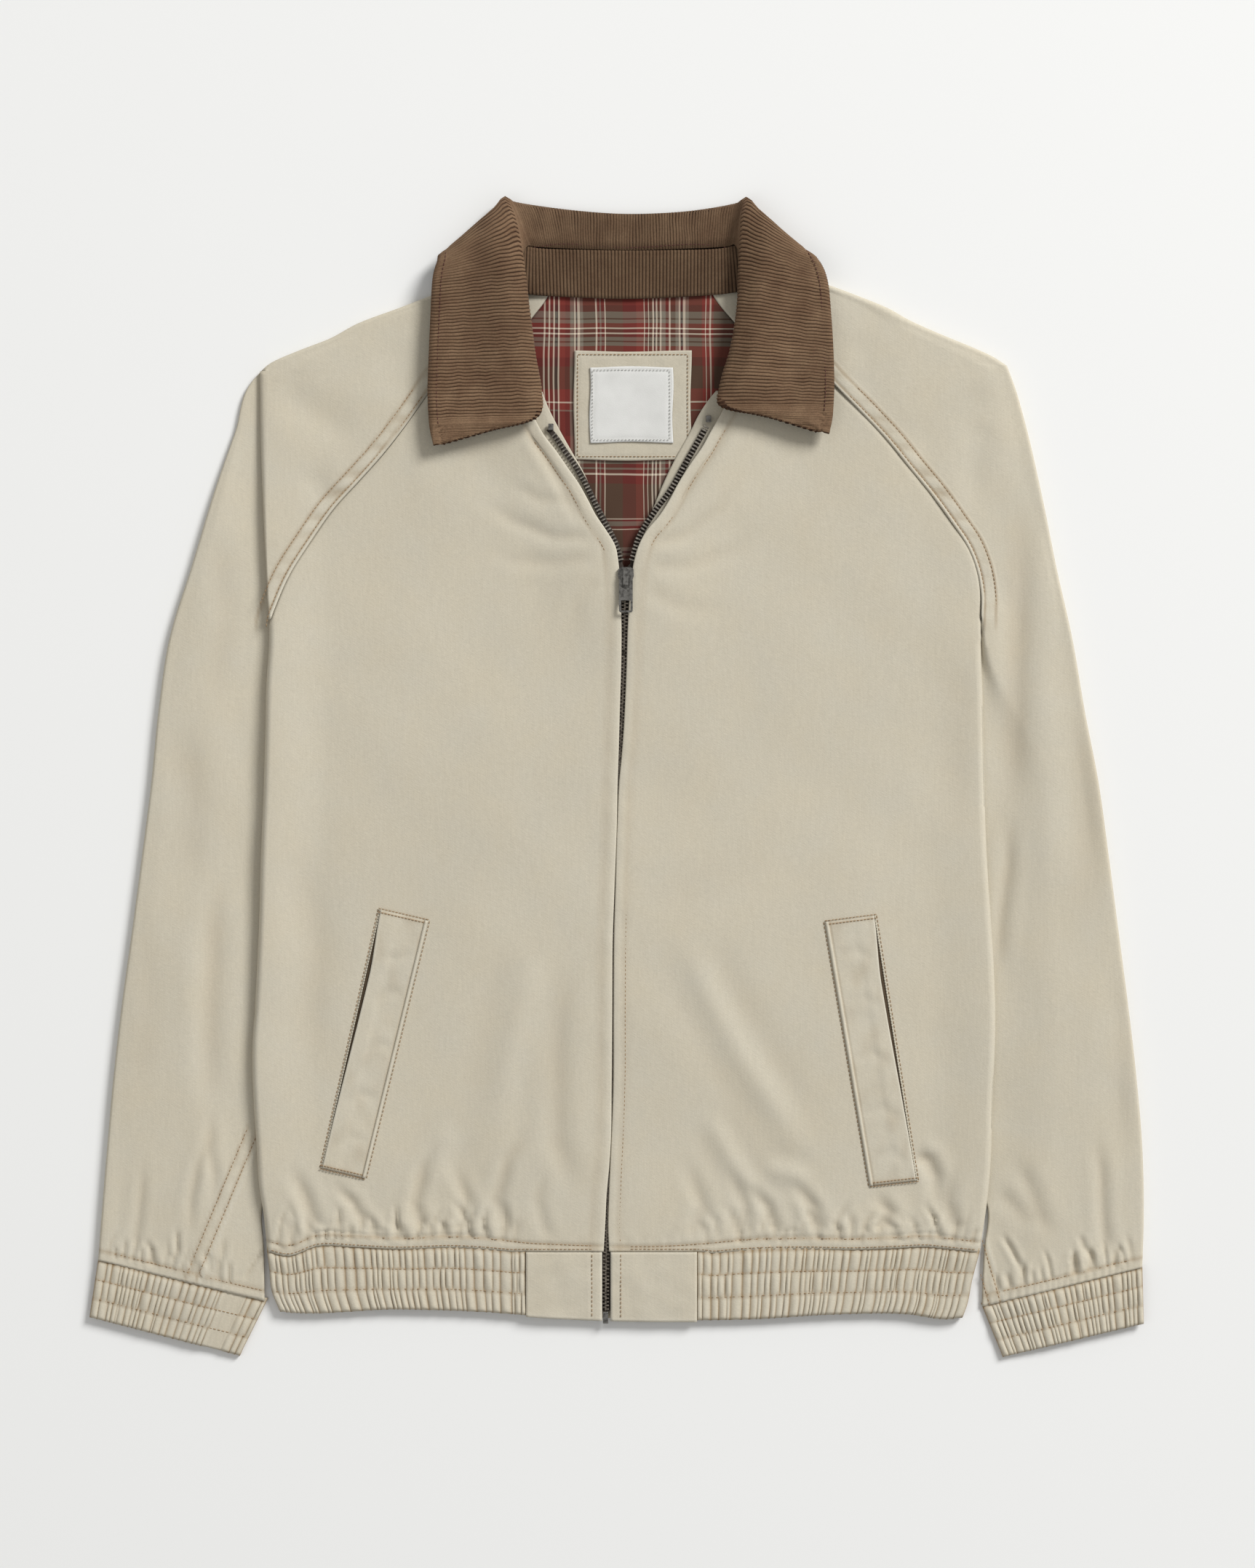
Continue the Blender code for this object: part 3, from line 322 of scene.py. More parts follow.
def along_path(x, y, path):
    """Distance of each point from a bent line, and how far along it, 0 to 1."""
    best = np.full(np.shape(x), 1e9)
    where = np.zeros(np.shape(x))
    count = len(path) - 1
    for k in range(count):
        (ax, ay), (bx, by) = path[k], path[k + 1]
        dx, dy = bx - ax, by - ay
        t = np.clip(((x - ax) * dx + (y - ay) * dy) / math.hypot(dx, dy) ** 2, 0, 1)
        far = np.hypot(x - ax - t * dx, y - ay - t * dy)
        where = np.where(far < best, (k + t) / count, where)
        best = np.minimum(far, best)
    return best, where


def creases(x, y, rows):
    """Soft troughs (depth below zero) and ridges along bent lines.

    A row holds the line, the width, the depth, and where along the line it is deepest."""
    x, y = np.broadcast_arrays(x, y)
    total = np.zeros(x.shape)
    for path, width, depth, peak in rows:
        (low_x, low_y), (high_x, high_y) = np.min(path, axis=0), np.max(path, axis=0)
        reach = 4 * width
        near = (x > low_x - reach) & (x < high_x + reach) & (y > low_y - reach) & (y < high_y + reach)
        if not near.any():
            continue
        far, where = along_path(x[near], y[near], path)
        fade = np.where(where < peak, where / max(peak, 1e-3), (1 - where) / max(1 - peak, 1e-3))
        fade = ease(np.clip(fade, 0, 1) * 1.6)
        total[near] += depth * fade * (bell(far, width) - 0.34 * bell(far - 2.1 * width, 1.1 * width))
    return total


# ---------------------------------------------------------------- meshes


def grid_mesh(name, points, keep=None):
    """A mesh from a grid of points, rows by columns; keep says which squares stay."""
    rows, cols = points.shape[:2]
    index = np.arange(rows * cols).reshape(rows, cols)
    quads = np.stack([index[:-1, :-1], index[:-1, 1:], index[1:, 1:], index[1:, :-1]], axis=-1)
    if keep is not None:
        quads = quads[keep]
    used, quads = np.unique(quads, return_inverse=True)
    return bare_mesh(name, points.reshape(-1, 3)[used], quads.reshape(-1, 4))


def bare_mesh(name, verts, faces):
    """A smooth mesh from an array of points in millimetres and an array of faces of one size."""
    mesh = bpy.data.meshes.new(name)
    corners = faces.shape[1]
    mesh.vertices.add(len(verts))
    mesh.vertices.foreach_set("co", (np.asarray(verts, float) * MM).ravel())
    mesh.loops.add(faces.size)
    mesh.loops.foreach_set("vertex_index", faces.ravel().astype(np.int32))
    mesh.polygons.add(len(faces))
    mesh.polygons.foreach_set("loop_start", np.arange(0, faces.size, corners, dtype=np.int32))
    mesh.update(calc_edges=True)
    mesh.validate()
    mesh.shade_smooth()
    return mesh


def put(name, mesh, look, slot, *replaced):
    """Add a piece to the scene, in its material, on the jacket's body."""
    thing = bpy.data.objects.new(name, mesh)
    mesh.materials.append(look)
    bpy.context.scene.collection.objects.link(thing)
    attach(thing, BODY)
    if replaced:
        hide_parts(*replaced)
    return thing


def keep_layer(thing, key, values):
    """Keep a number at each point of a piece, given in the order of its points."""
    layer = thing.data.attributes.new(key, "FLOAT", "POINT")
    layer.data.foreach_set("value", values.ravel())


def cloth(node, points, wall, look, slot="khaki_twill", keep=None, flip=False, layers=()):
    """A thin shell of cloth over a grid of points, in place of a node, with layers of numbers at its points."""
    order = slice(None, None, -1 if flip else 1)
    keep = None if keep is None else keep[:, order]
    name = node + "_cloth"
    thing = put(name, grid_mesh(name, points[:, order], keep), look, slot, node)
    solid = thing.modifiers.new("wall", "SOLIDIFY")
    solid.thickness = wall * MM
    solid.offset = 0.0
    for key, values in layers:
        keep_layer(thing, key, values[:, order])
    return thing


def paint_wear_and_shading(thing, value_at):
    """Keep at each point of a mesh, from where the point lies, a number for the cloth's wear and its painted shade
    and highlight.
    """
    places = np.empty(len(thing.data.vertices) * 3)
    thing.data.vertices.foreach_get("co", places)
    x, y, _ = places.reshape(-1, 3).T / MM
    keep_layer(thing, "wear_and_shading", np.clip(value_at(x, y), 0, 1))


def as_points(x, y, z):
    return np.stack(np.broadcast_arrays(x, y, z), axis=-1)


def joined(*zones):
    """Zones of columns side by side; a zone of one row stands for every row."""
    rows = max(np.shape(zone)[0] for zone in zones)
    return np.concatenate([np.broadcast_to(zone, (rows, np.shape(zone)[1])) for zone in zones], axis=1)


def every_square(points):
    return np.ones((points.shape[0] - 1, points.shape[1] - 1), bool)


# ---------------------------------------------------------------- creases of each piece

def fan(rng, count, start, stop, lift, lean, width, depth):
    """Short uneven puckers that rise from a gathered seam between two points."""
    rows = []
    for k in range(count):
        t = (k + rng.uniform(0.15, 0.85)) / count
        x = mix(start[0], stop[0], t)
        y = mix(start[1], stop[1], t)
        tall = lift * rng.uniform(0.35, 1.0) ** 1.4
        tilt = rng.uniform(-lean, lean)
        mid = (x + tilt * tall * 0.4 + rng.uniform(-1, 1), y + tall * 0.5)
        rows.append(([(x, y - 3), mid, (x + tilt * tall, y + tall)], width * rng.uniform(0.6, 1.3),
                     -depth * rng.uniform(0.45, 1.0), 0.16))
    return rows


FRONT_CREASES = {
    "left": [
        ([(-205, -312), (-213, -288), (-224, -262)], 4.5, -1.7, 0.25),
        ([(-170, -314), (-180, -292), (-196, -276)], 3.2, -1.5, 0.25),
        ([(-132, -314), (-138, -292), (-132, -268), (-118, -244)], 3.8, -1.7, 0.25),
        ([(-108, -314), (-102, -290), (-112, -262)], 3.6, -1.4, 0.25),
        ([(-72, -316), (-82, -290), (-74, -262), (-54, -232)], 4.2, -1.6, 0.25),
        ([(-46, -318), (-54, -290), (-46, -262)], 4, -0.9, 0.25),
        ([(-50, -116), (-66, -160), (-76, -205), (-88, -262)], 10, 1.7, 0.4),
        ([(-34, -130), (-40, -186), (-40, -249), (-26, -292)], 7, -1.2, 0.5),
        ([(-112, -232), (-122, -262), (-116, -292)], 8, 0.9, 0.5),
        ([(-222, -40), (-205, -120), (-214, -200)], 12, -0.8, 0.5),
        ([(-62, 244), (-52, 226), (-41, 208), (-31, 188), (-22, 166)], 3.2, -0.9, 0.35),
        ([(-16, 166), (-42, 166), (-72, 178), (-104, 200)], 4.2, -0.85, 0.2),
        ([(-14, 154), (-40, 148), (-70, 150), (-96, 162)], 4.6, -0.6, 0.2),
        ([(-30, 190), (-52, 192), (-78, 206)], 3.8, -0.6, 0.3),
        ([(-12, 140), (-26, 122), (-34, 92)], 4.6, -0.5, 0.3),
        ([(-150, 216), (-120, 196), (-70, 196)], 16, 0.5, 0.5),
    ],
    "right": [
        ([(205, -258), (215, -263), (220, -274), (221, -312)], 4.5, -2.3, 0.35),
        ([(234, -314), (228, -290), (234, -262)], 4.5, -1.6, 0.3),
        ([(180, -314), (188, -298), (178, -284)], 4, -1.8, 0.3),
        ([(142, -314), (136, -294), (120, -274)], 3.6, -1.9, 0.3),
        ([(112, -316), (104, -294), (86, -274)], 3.6, -1.8, 0.3),
        ([(84, -316), (90, -294), (76, -262)], 4, -1.5, 0.3),
        ([(52, -318), (60, -294), (46, -256)], 4.4, -1.2, 0.3),
        ([(46, -104), (64, -150), (86, -190), (112, -230), (142, -276)], 9, 1.7, 0.4),
        ([(60, -226), (80, -262), (100, -294)], 6, 1.2, 0.5),
        ([(98, -268), (120, -271), (136, -278)], 6, 1.2, 0.5),
        ([(22, -96), (60, -70), (112, -52)], 16, -0.4, 0.5),
        ([(82, 246), (70, 228), (57, 210), (44, 191), (31, 172)], 3.4, -0.9, 0.35),
        ([(24, 160), (48, 168), (70, 186), (92, 214)], 4.2, -0.8, 0.25),
        ([(22, 146), (50, 146), (82, 158), (108, 178)], 4.8, -0.6, 0.2),
        ([(20, 130), (44, 118), (80, 116)], 5.2, -0.45, 0.25),
        ([(120, 226), (108, 196), (80, 170)], 14, 0.5, 0.5),
        ([(240, 90), (232, 30), (238, -60)], 13, -0.7, 0.5),
    ],
}

SLEEVE_CREASES = {
    "left": [
        ([(-272, -60), (-277, -110), (-279, -170), (-279, -236)], 7.5, -1.5, 0.6),
        ([(-278, -226), (-279, -256), (-276, -272), (-277, -296)], 3.4, -1.1, 0.45),
        ([(-281, -244), (-288, -270), (-292, -290), (-293, -318)], 3.2, -1.2, 0.4),
        ([(-324, -258), (-326, -285), (-329, -310), (-333, -327)], 3.2, -1, 0.6),
        ([(-300, -308), (-301.5, -316), (-301, -324), (-305, -334)], 1.6, -2, 0.55),
        ([(-268, -314), (-271, -328), (-273, -343)], 1.8, -1.3, 0.5),
        ([(-353, -300), (-354, -318), (-356, -326)], 2.2, -0.7, 0.5),
        ([(-300, 40), (-290, -20), (-296, -80)], 12, -0.8, 0.5),
        ([(-330, -90), (-322, -160), (-330, -230)], 12, -0.7, 0.5),
        ([(-276, 180), (-268, 110), (-280, 40)], 9, -0.7, 0.5),
        ([(-240, -320), (-249, -334), (-257, -347)], 1.3, -1.3, 0.5),
    ],
    "right": [
        ([(276, 204), (277, 120), (275, 40), (272, -30)], 9, -1.9, 0.5),
        ([(272, -20), (270, -60), (265, -100), (262, -140)], 4.5, -1.3, 0.55),
        ([(268.5, 284), (268, 270), (266, 252)], 1.8, -1.2, 0.3),
        ([(330, -240), (334, -270), (335, -300), (338, -330)], 4, -1.3, 0.7),
        ([(275, -258), (284, -280), (292, -300), (300, -318)], 5.5, -1, 0.5),
        ([(262, -282), (276, -296), (288, -312)], 5.5, -0.9, 0.5),
        ([(265, -312), (272, -323), (277, -333), (280, -344)], 1.8, -1.6, 0.45),
        ([(319, -312), (322, -322), (329, -332)], 2, -1.1, 0.5),
        ([(314, -322), (316, -330), (318, -338)], 1.5, -1, 0.6),
        ([(318, 60), (326, -20), (322, -120)], 14, -0.8, 0.5),
        ([(296, 90), (302, 10), (298, -90)], 12, 0.6, 0.5),
        ([(346, -120), (350, -190), (349, -260)], 10, -0.7, 0.5),
    ],
}

CAP_CREASES = {
    "left": [
        ([(-236, 270), (-214, 256), (-192, 242), (-168, 230)], 11, -1, 0.4),
        ([(-212, 214), (-203, 200), (-197, 186)], 8, -0.7, 0.5),
        ([(-146, 306), (-150, 280), (-146, 256)], 12, -0.6, 0.5),
    ],
    "right": [
        ([(258, 274), (236, 252), (212, 232), (196, 224)], 11, -1.1, 0.35),
        ([(254, 250), (246, 220), (246, 180)], 9, -0.9, 0.4),
        ([(166, 310), (172, 284), (168, 258)], 12, -0.6, 0.5),
    ],
}

rng = np.random.default_rng(7)
FRONT_CREASES["left"] += fan(rng, 30, (-236, -318), (-66, -316), 32, 0.6, 1.9, 2.1)
FRONT_CREASES["left"] += fan(rng, 5, (-54, -322), (-16, -322), 14, 0.3, 2.6, 0.5)
FRONT_CREASES["right"] += fan(rng, 32, (62, -317), (246, -318), 32, 0.6, 1.9, 2.1)
FRONT_CREASES["right"] += fan(rng, 5, (6, -322), (50, -322), 14, 0.3, 2.6, 0.5)
SLEEVE_CREASES["left"] += fan(rng, 16, (-352, -326), (-262, -345), 26, 0.5, 1.6, 1.9)
SLEEVE_CREASES["right"] += fan(rng, 16, (262, -350), (358, -330), 26, 0.5, 1.6, 1.9)

SWELLS = ((150.0, 0.55), (52.0, 0.26))
SEAM_ON = 98
RAGLAN_ROWS = (2.4, 10.2)
ZIP_ROW = 7.6
ROW_ABOVE = 7.4


def loose_relief(x, y, seed):
    """The slight unevenness that any pressed cloth keeps."""
    return sum(high * swell(x, y, scale, seed + k, stretch=1.5) for k, (scale, high) in enumerate(SWELLS))


def groove(far, wide, deep):
    return -deep * bell(far, wide)


def raglan_spots(y, far):
    """The uneven puckers of the strip between the raglan seam's two rows."""
    return swell(y * 1.25, far * 0.3, 13.0, 31)


def raglan_relief(piece, x, y, on_sleeve):
    """The raglan seam: a turned edge, two stitched rows and the puckered strip between them."""
    far = off_curve(piece, "raglan", x, y)
    seam_on = ease((y - SEAM_ON) / 14)
    if not on_sleeve:
        return seam_on * groove(far, 2.2, 0.5)
    strip = ease((far + 0.2) / 1.1) * ease((12.4 - far) / 1.6)
    pucker = 0.32 * raglan_spots(y, far) * bell(far - 5.8, 3.6)
    ridge = 0.5 * bell(far - 0.9, 0.9)
    low, high = (groove(far - row, 0.8, 0.4) for row in RAGLAN_ROWS)
    return seam_on * (0.45 * strip + pucker + ridge + low + high)


def zip_edge_relief(piece, x, y):
    """The folded strip beside the zip, held by one stitched row."""
    far = off_curve(piece, "inner", x, y)
    strip = 0.35 * ease((ZIP_ROW - far) / 2.2)
    pucker = 0.22 * swell(y, far * 0.2, 17.0, 57) * bell(far - 4, 3.4)
    return strip + pucker + groove(far - ZIP_ROW, 0.9, 0.45)


HEM_STITCH = track([
    (-240, -317), (-225, -320.5), (-205, -314), (-180, -314.5), (-150, -316), (-110, -315), (-80, -317), (-62, -319),
    (-30, -320.5), (0, -321.5), (30, -321.5), (56, -320), (90, -317), (130, -316), (165, -316.5), (190, -315.5),
    (215, -314.5), (230, -316), (250, -318),
])


def hem_shift(x):
    """How far the seam over the hem band wanders from its straight line, away from the plain tabs."""
    return (HEM_STITCH(x) - ROW_ABOVE - HEM_Y) * ease((np.abs(x + 3) - 60) / 14)


def hem_seam_relief(x, y):
    """The stitched row above the hem band, and the small gathers between it and the band."""
    above = y - HEM_STITCH(x)
    plain = ease((abs(x + 3) - 50) / 12)
    gathers = 0.5 * plain * np.sin(2 * math.pi * x / 5.1 + 1.6 * np.sin(x / 9.0)) * ease((3 - above) / 6)
    low = -0.55 * ease((HEM_Y + 3.0 - y) / 3.0) * plain
    return groove(above, 1.2, 0.6) + gathers + low


def front_relief(piece, x, y):
    total = loose_relief(x, y, piece["front_seed"])
    total = total + creases(x, y, FRONT_CREASES[piece["name"]])
    total = total + raglan_relief(piece, x, y, on_sleeve=False)
    total = total + zip_edge_relief(piece, x, y)
    total = total + hem_seam_relief(x, y)
    return np.clip(total, -2.6, 2.2)


def front_top(piece, x, y):
    """The middle of the front's wall as it lies, with its creases; the side's round fold is left out."""
    return front_height(piece, x, y) + front_relief(piece, x, y)


# ---------------------------------------------------------------- materials

class Look:
    """A material as it is made: nodes are added to it, and its shader is fed last."""

    def __init__(self, name):
        self.material = bpy.data.materials.new(name)
        self.material.use_nodes = True
        self.tree = self.material.node_tree

    def feed(self, socket, value):
        """Link another node's output to a socket, or set the socket to a number or colour."""
        if isinstance(value, bpy.types.NodeSocket):
            self.tree.links.new(value, socket)
        else:
            socket.default_value = (*value, 1.0) if socket.type == "RGBA" else value

    def add(self, kind, inputs, out=0, **settings):
        """Add a node, and give one of its outputs."""
        made = self.tree.nodes.new("ShaderNode" + kind)
        for key, value in settings.items():
            setattr(made, key, value)
        for key, value in inputs.items():
            self.feed(made.inputs[key], value)
        return made.outputs[out]

    def noise(self, where, scale, detail=4.0, rough=0.55):
        return self.add("TexNoise", {"Vector": where, "Scale": scale, "Detail": detail, "Roughness": rough}, "Fac")

    def math(self, operation, *values, clamp=False):
        return self.add("Math", dict(enumerate(values)), operation=operation, use_clamp=clamp)

    def scaled(self, value, factor, more, clamp=False):
        return self.math("MULTIPLY_ADD", value, factor, more, clamp=clamp)

    def blend(self, fac, a, b, mode="MIX"):
        return self.add("Mix", {0: fac, 6: a, 7: b}, 2, data_type="RGBA", blend_type=mode)

    def toned(self, colour, level):
        """A colour made lighter or darker by a level that differs from place to place."""
        grey = self.add("CombineColor", {0: level, 1: level, 2: level}, "Color")
        return self.blend(1.0, colour, grey, "MULTIPLY")

    def kept(self, name):
        """A number that a mesh keeps at its points."""
        return self.add("Attribute", {}, "Fac", attribute_name=name)

    def ramp(self, fac, stops, steps="EASE"):
        made = self.add("ValToRGB", {"Fac": fac}, "Color")
        made.node.color_ramp.interpolation = steps
        elements = made.node.color_ramp.elements
        elements.remove(elements[-1])
        elements[0].position = stops[0][0]
        elements[0].color = (*stops[0][1], 1.0)
        for place, colour in stops[1:]:
            elements.new(place).color = (*colour, 1.0)
        return made

    def bump(self, height, strength, distance, **under):
        return self.add("Bump", {"Height": height, "Strength": strength, "Distance": distance, **under}, "Normal")

    def places(self, scale=(1.0, 1.0, 1.0), turn=0.0):
        """Places in metres, turned about Z and stretched."""
        where = self.add("TexCoord", {}, "Object")
        return self.add("Mapping", {"Vector": where, "Rotation": (0, 0, turn), "Scale": scale}, vector_type="TEXTURE")

    def shade(self, colour, rough, normal=None, **more):
        """Feed the shader, and give the finished material."""
        sockets = self.tree.nodes["Principled BSDF"].inputs
        self.feed(sockets["Base Color"], colour)
        self.feed(sockets["Roughness"], rough)
        if normal:
            self.feed(sockets["Normal"], normal)
        for key, value in more.items():
            self.feed(sockets[SHADER_SOCKETS[key]], value)
        return self.material


SHADER_SOCKETS = {"specular": "Specular IOR Level", "metallic": "Metallic", "sheen": "Sheen Weight",
                  "sheen_rough": "Sheen Roughness", "sheen_tint": "Sheen Tint"}

KHAKI = (0.575, 0.530, 0.428)
# The pale khaki stands for worn edges and painted highlight, the deep tan one for painted shade in creases, valleys,
# grooves and along stitched rows.
KHAKI_PALE_WEAR_AND_HIGHLIGHT = (0.66, 0.62, 0.52)
KHAKI_PAINTED_SHADE = (0.30, 0.205, 0.108)
TAN_THREAD = (0.33, 0.210, 0.108)
PILE_GAP_BASE_AND_SHADE = (0.008, 0.003, 0.002)
PILE_MIDDLE = (0.058, 0.032, 0.018)
PILE_TOP = (0.232, 0.148, 0.088)
PILE_RUBBED = (0.092, 0.046, 0.026)


def tinted(colour, *factors):
    """A colour times one factor, or one for each channel."""
    return tuple(c * k for c, k in zip(colour, factors * 3))


def twill_look(name, colour, use_wear_and_shading=True):
    """Brushed cotton twill: fine slanted ribs, soft mottling, pale on worn edges and as painted highlight, tan as
    painted shade in creases, valleys and along stitched rows.
    """
    look = Look(name)
    plain = look.places()
    fine = look.noise(look.places((0.00042, 0.0030, 0.003), math.radians(62)), 1.0, 2.0, 0.5)
    slub = look.noise(look.places((0.0012, 0.0120, 0.012)), 1.0, 3.0, 0.6)
    fuzz = look.noise(plain, 1100.0, 2.0, 0.7)
    cloud = look.noise(plain, 7.0, 3.0, 0.5)
    mottle = look.noise(plain, 26.0, 5.0, 0.62)
    shade = look.scaled(fine, 0.22, 0.89)
    for part, factor, more in ((fuzz, 0.20, 0.90), (slub, 0.12, 0.94), (cloud, 0.10, 0.95)):
        shade = look.math("MULTIPLY", shade, look.scaled(part, factor, more))
    base = look.blend(look.math("SUBTRACT", mottle, 0.25, clamp=True), colour, tinted(colour, 1.035, 0.985, 0.90))
    if use_wear_and_shading:
        # Below one half the kept number paints shade in tan; above it, wear and painted highlight in pale khaki.
        wear_and_shading = look.kept("wear_and_shading")
        for ends, end_tone in (((0.5, wear_and_shading), KHAKI_PAINTED_SHADE), ((wear_and_shading, 0.5), KHAKI_PALE_WEAR_AND_HIGHLIGHT)):
            amount = look.math("MULTIPLY", look.math("SUBTRACT", *ends, clamp=True), 2.0, clamp=True)
            base = look.blend(amount, base, end_tone)
    weave = look.bump(slub, 0.25, 0.00025, Normal=look.bump(fine, 0.35, 0.00022))
    return look.shade(look.toned(base, shade), 0.86, weave, specular=0.25, sheen=0.04, sheen_rough=0.5)


def corduroy_look():
    """Brown pile: dark between the wales as the pile's base and painted shade, redder where it is rubbed; a kept
    number darkens parts of it for the pile's lie and as painted shade.
    """
    look = Look("brown_corduroy_pile")
    plain = look.places()
    pile = look.noise(plain, 900.0, 3.0, 0.7)
    pile_tone = look.noise(plain, 60.0, 4.0, 0.65)
    cloud = look.noise(plain, 14.0, 3.0, 0.5)
    # Near black between the wales: the pile's base with painted shade.
    tones = look.ramp(look.kept("wale"), [(0.0, PILE_GAP_BASE_AND_SHADE), (0.55, PILE_MIDDLE), (1.0, PILE_TOP)])
    base = look.blend(look.scaled(pile_tone, 1.3, -0.42, clamp=True), tones, PILE_RUBBED)
    level = look.math("MULTIPLY", look.scaled(cloud, 0.6, 0.75), look.scaled(pile, 0.8, 0.62))
    # The kept tone darkens the fall, the stand and the right leaf, for the pile's lie and as painted shade.
    level = look.math("MULTIPLY", level, look.kept("pile_tone"))
    return look.shade(look.toned(base, level), 0.95, look.bump(pile, 0.5, 0.0004), specular=0.1, sheen=0.15,
                      sheen_rough=0.45, sheen_tint=(0.75, 0.55, 0.42))


MAROON = (0.115, 0.022, 0.018)
RED = (0.190, 0.034, 0.026)
BROWN_YARN = (0.078, 0.044, 0.028)
CREAM = (0.70, 0.60, 0.47)
GREY_YARN = (0.20, 0.175, 0.135)
INK = (0.030, 0.022, 0.022)

# stripes of the checked lining: where each starts, in millimetres, and its yarn
UPRIGHT = [
    (-110, MAROON), (-96, BROWN_YARN), (-80, MAROON), (-66, RED), (-57.5, MAROON), (-50, CREAM), (-49, MAROON),
    (-46.5, CREAM), (-45.5, MAROON), (-43, CREAM), (-42, INK), (-40, CREAM), (-39, RED), (-35, MAROON),
    (-31.5, GREY_YARN), (-29, CREAM), (-27.6, INK), (-26.6, CREAM), (-24.6, GREY_YARN), (-22.5, BROWN_YARN),
    (-14, CREAM), (-13.2, MAROON), (-11.6, GREY_YARN), (-10.2, MAROON), (-8, CREAM), (-7, BROWN_YARN),
]
UPRIGHT_EAST = [
    (-7, BROWN_YARN), (5, MAROON), (14, RED), (19, CREAM), (19.8, MAROON), (22, CREAM), (22.8, BROWN_YARN),
    (25, CREAM), (26, INK), (27.4, CREAM), (28.4, BROWN_YARN), (30, CREAM), (31.2, GREY_YARN), (34, MAROON),
    (36.5, CREAM), (37.4, BROWN_YARN), (41, GREY_YARN), (43.5, CREAM), (44.6, INK), (46, CREAM), (48, GREY_YARN),
    (50, BROWN_YARN), (59.5, RED), (61.4, CREAM), (62.4, RED), (64.4, CREAM), (65.4, RED), (67.5, BROWN_YARN),
    (84, MAROON), (100, RED),
]
ACROSS = [
    (110, BROWN_YARN), (150, GREY_YARN), (151.5, BROWN_YARN), (153, GREY_YARN), (155, INK), (156.5, GREY_YARN),
    (159, BROWN_YARN), (171, CREAM), (172, MAROON), (174, GREY_YARN), (177, MAROON), (178.2, CREAM),
    (179.2, BROWN_YARN), (190, BROWN_YARN), (203, MAROON), (209.2, CREAM), (210.2, MAROON), (212.6, GREY_YARN),
    (214, MAROON), (216.8, GREY_YARN), (218.4, RED), (236, MAROON),
]
ACROSS_NORTH = [
    (236, MAROON), (252.8, GREY_YARN), (254, RED), (258.6, CREAM), (259.6, RED), (268, BROWN_YARN), (284, MAROON),
    (290, RED), (297.6, GREY_YARN), (300, BROWN_YARN), (301.4, GREY_YARN), (303.6, MAROON), (306, CREAM),
    (306.8, MAROON), (309.4, CREAM), (310.2, RED), (313.4, GREY_YARN), (316, BROWN_YARN), (317.2, GREY_YARN),
    (321.4, MAROON), (326, RED),
]


def stripes(look, place, *halves):
    """Two ramps of stripes side by side along one direction."""
    ramps = []
    for rows in halves:
        start, stop = rows[0][0], rows[-1][0] + 40.0
        t = look.add("MapRange", {"Value": place, "From Min": start * MM, "From Max": stop * MM}, "Result")
        ramps.append(look.ramp(t, [((at - start) / (stop - start), colour) for at, colour in rows], "CONSTANT"))
    return look.blend(look.math("GREATER_THAN", place, halves[1][0][0] * MM), *ramps)


def plaid_look():
    """The checked lining: stripes across stripes, mixed thread by thread."""
    look = Look("plaid_cotton_check")
    where = look.places()
    shift = look.math("MULTIPLY", look.math("SUBTRACT", look.noise(where, 14.0, 2.0), 0.5), 0.003)
    parts = look.add("SeparateXYZ", {0: where}).node.outputs
    east, north = (look.math("ADD", parts[axis], shift) for axis in "XY")
    upright = stripes(look, east, UPRIGHT, UPRIGHT_EAST)
    across = stripes(look, north, ACROSS, ACROSS_NORTH)
    waves = [look.math("SINE", look.math("MULTIPLY", at, 2 * math.pi / 0.0011)) for at in (east, north)]
    over = look.scaled(look.math("MULTIPLY", *waves), 0.22, 0.5)
    weave = look.bump(look.noise(where, 1500.0, 2.0), 0.3, 0.0002)
    return look.shade(look.blend(over, upright, across), 0.88, weave, specular=0.2)


def satin_look():
    look = Look("label_satin")
    fine = look.noise(look.places((0.0009, 0.00035, 0.001)), 1.0, 2.0)
    cloud = look.noise(look.places(), 40.0, 3.0)
    tones = look.ramp(cloud, [(0.25, (0.66, 0.655, 0.625)), (0.75, (0.74, 0.735, 0.705))])
    return look.shade(tones, 0.5, look.bump(fine, 0.4, 0.0002), specular=0.4)


def fine_look(name, places, scale, dark, pale, rough, strength, deep):
    """A fine even grain between two tones, for the zip's tapes and for thread."""
    look = Look(name)
    fine = look.noise(look.places(places), scale, 2.0)
    tones = look.ramp(fine, [(0.3, dark), (0.7, pale)])
    return look.shade(tones, rough, look.bump(fine, strength, deep))


def thread_look(name, colour):
    return fine_look(name, (1.0, 1.0, 1.0), 2200.0, tinted(colour, 0.8), tinted(colour, 1.15), 0.7, 0.4, 0.0001)


def metal_look(name, low, high, rough):
    """Dark zip metal, brighter where it rubs."""
    look = Look(name)
    scuff = look.noise(look.places(), 420.0, 5.0, 0.65)
    tones = look.ramp(scuff, [(0.30, low), (0.62, high)])
    return look.shade(tones, look.scaled(scuff, 0.25, rough), look.bump(scuff, 0.25, 0.0001), metallic=0.9)


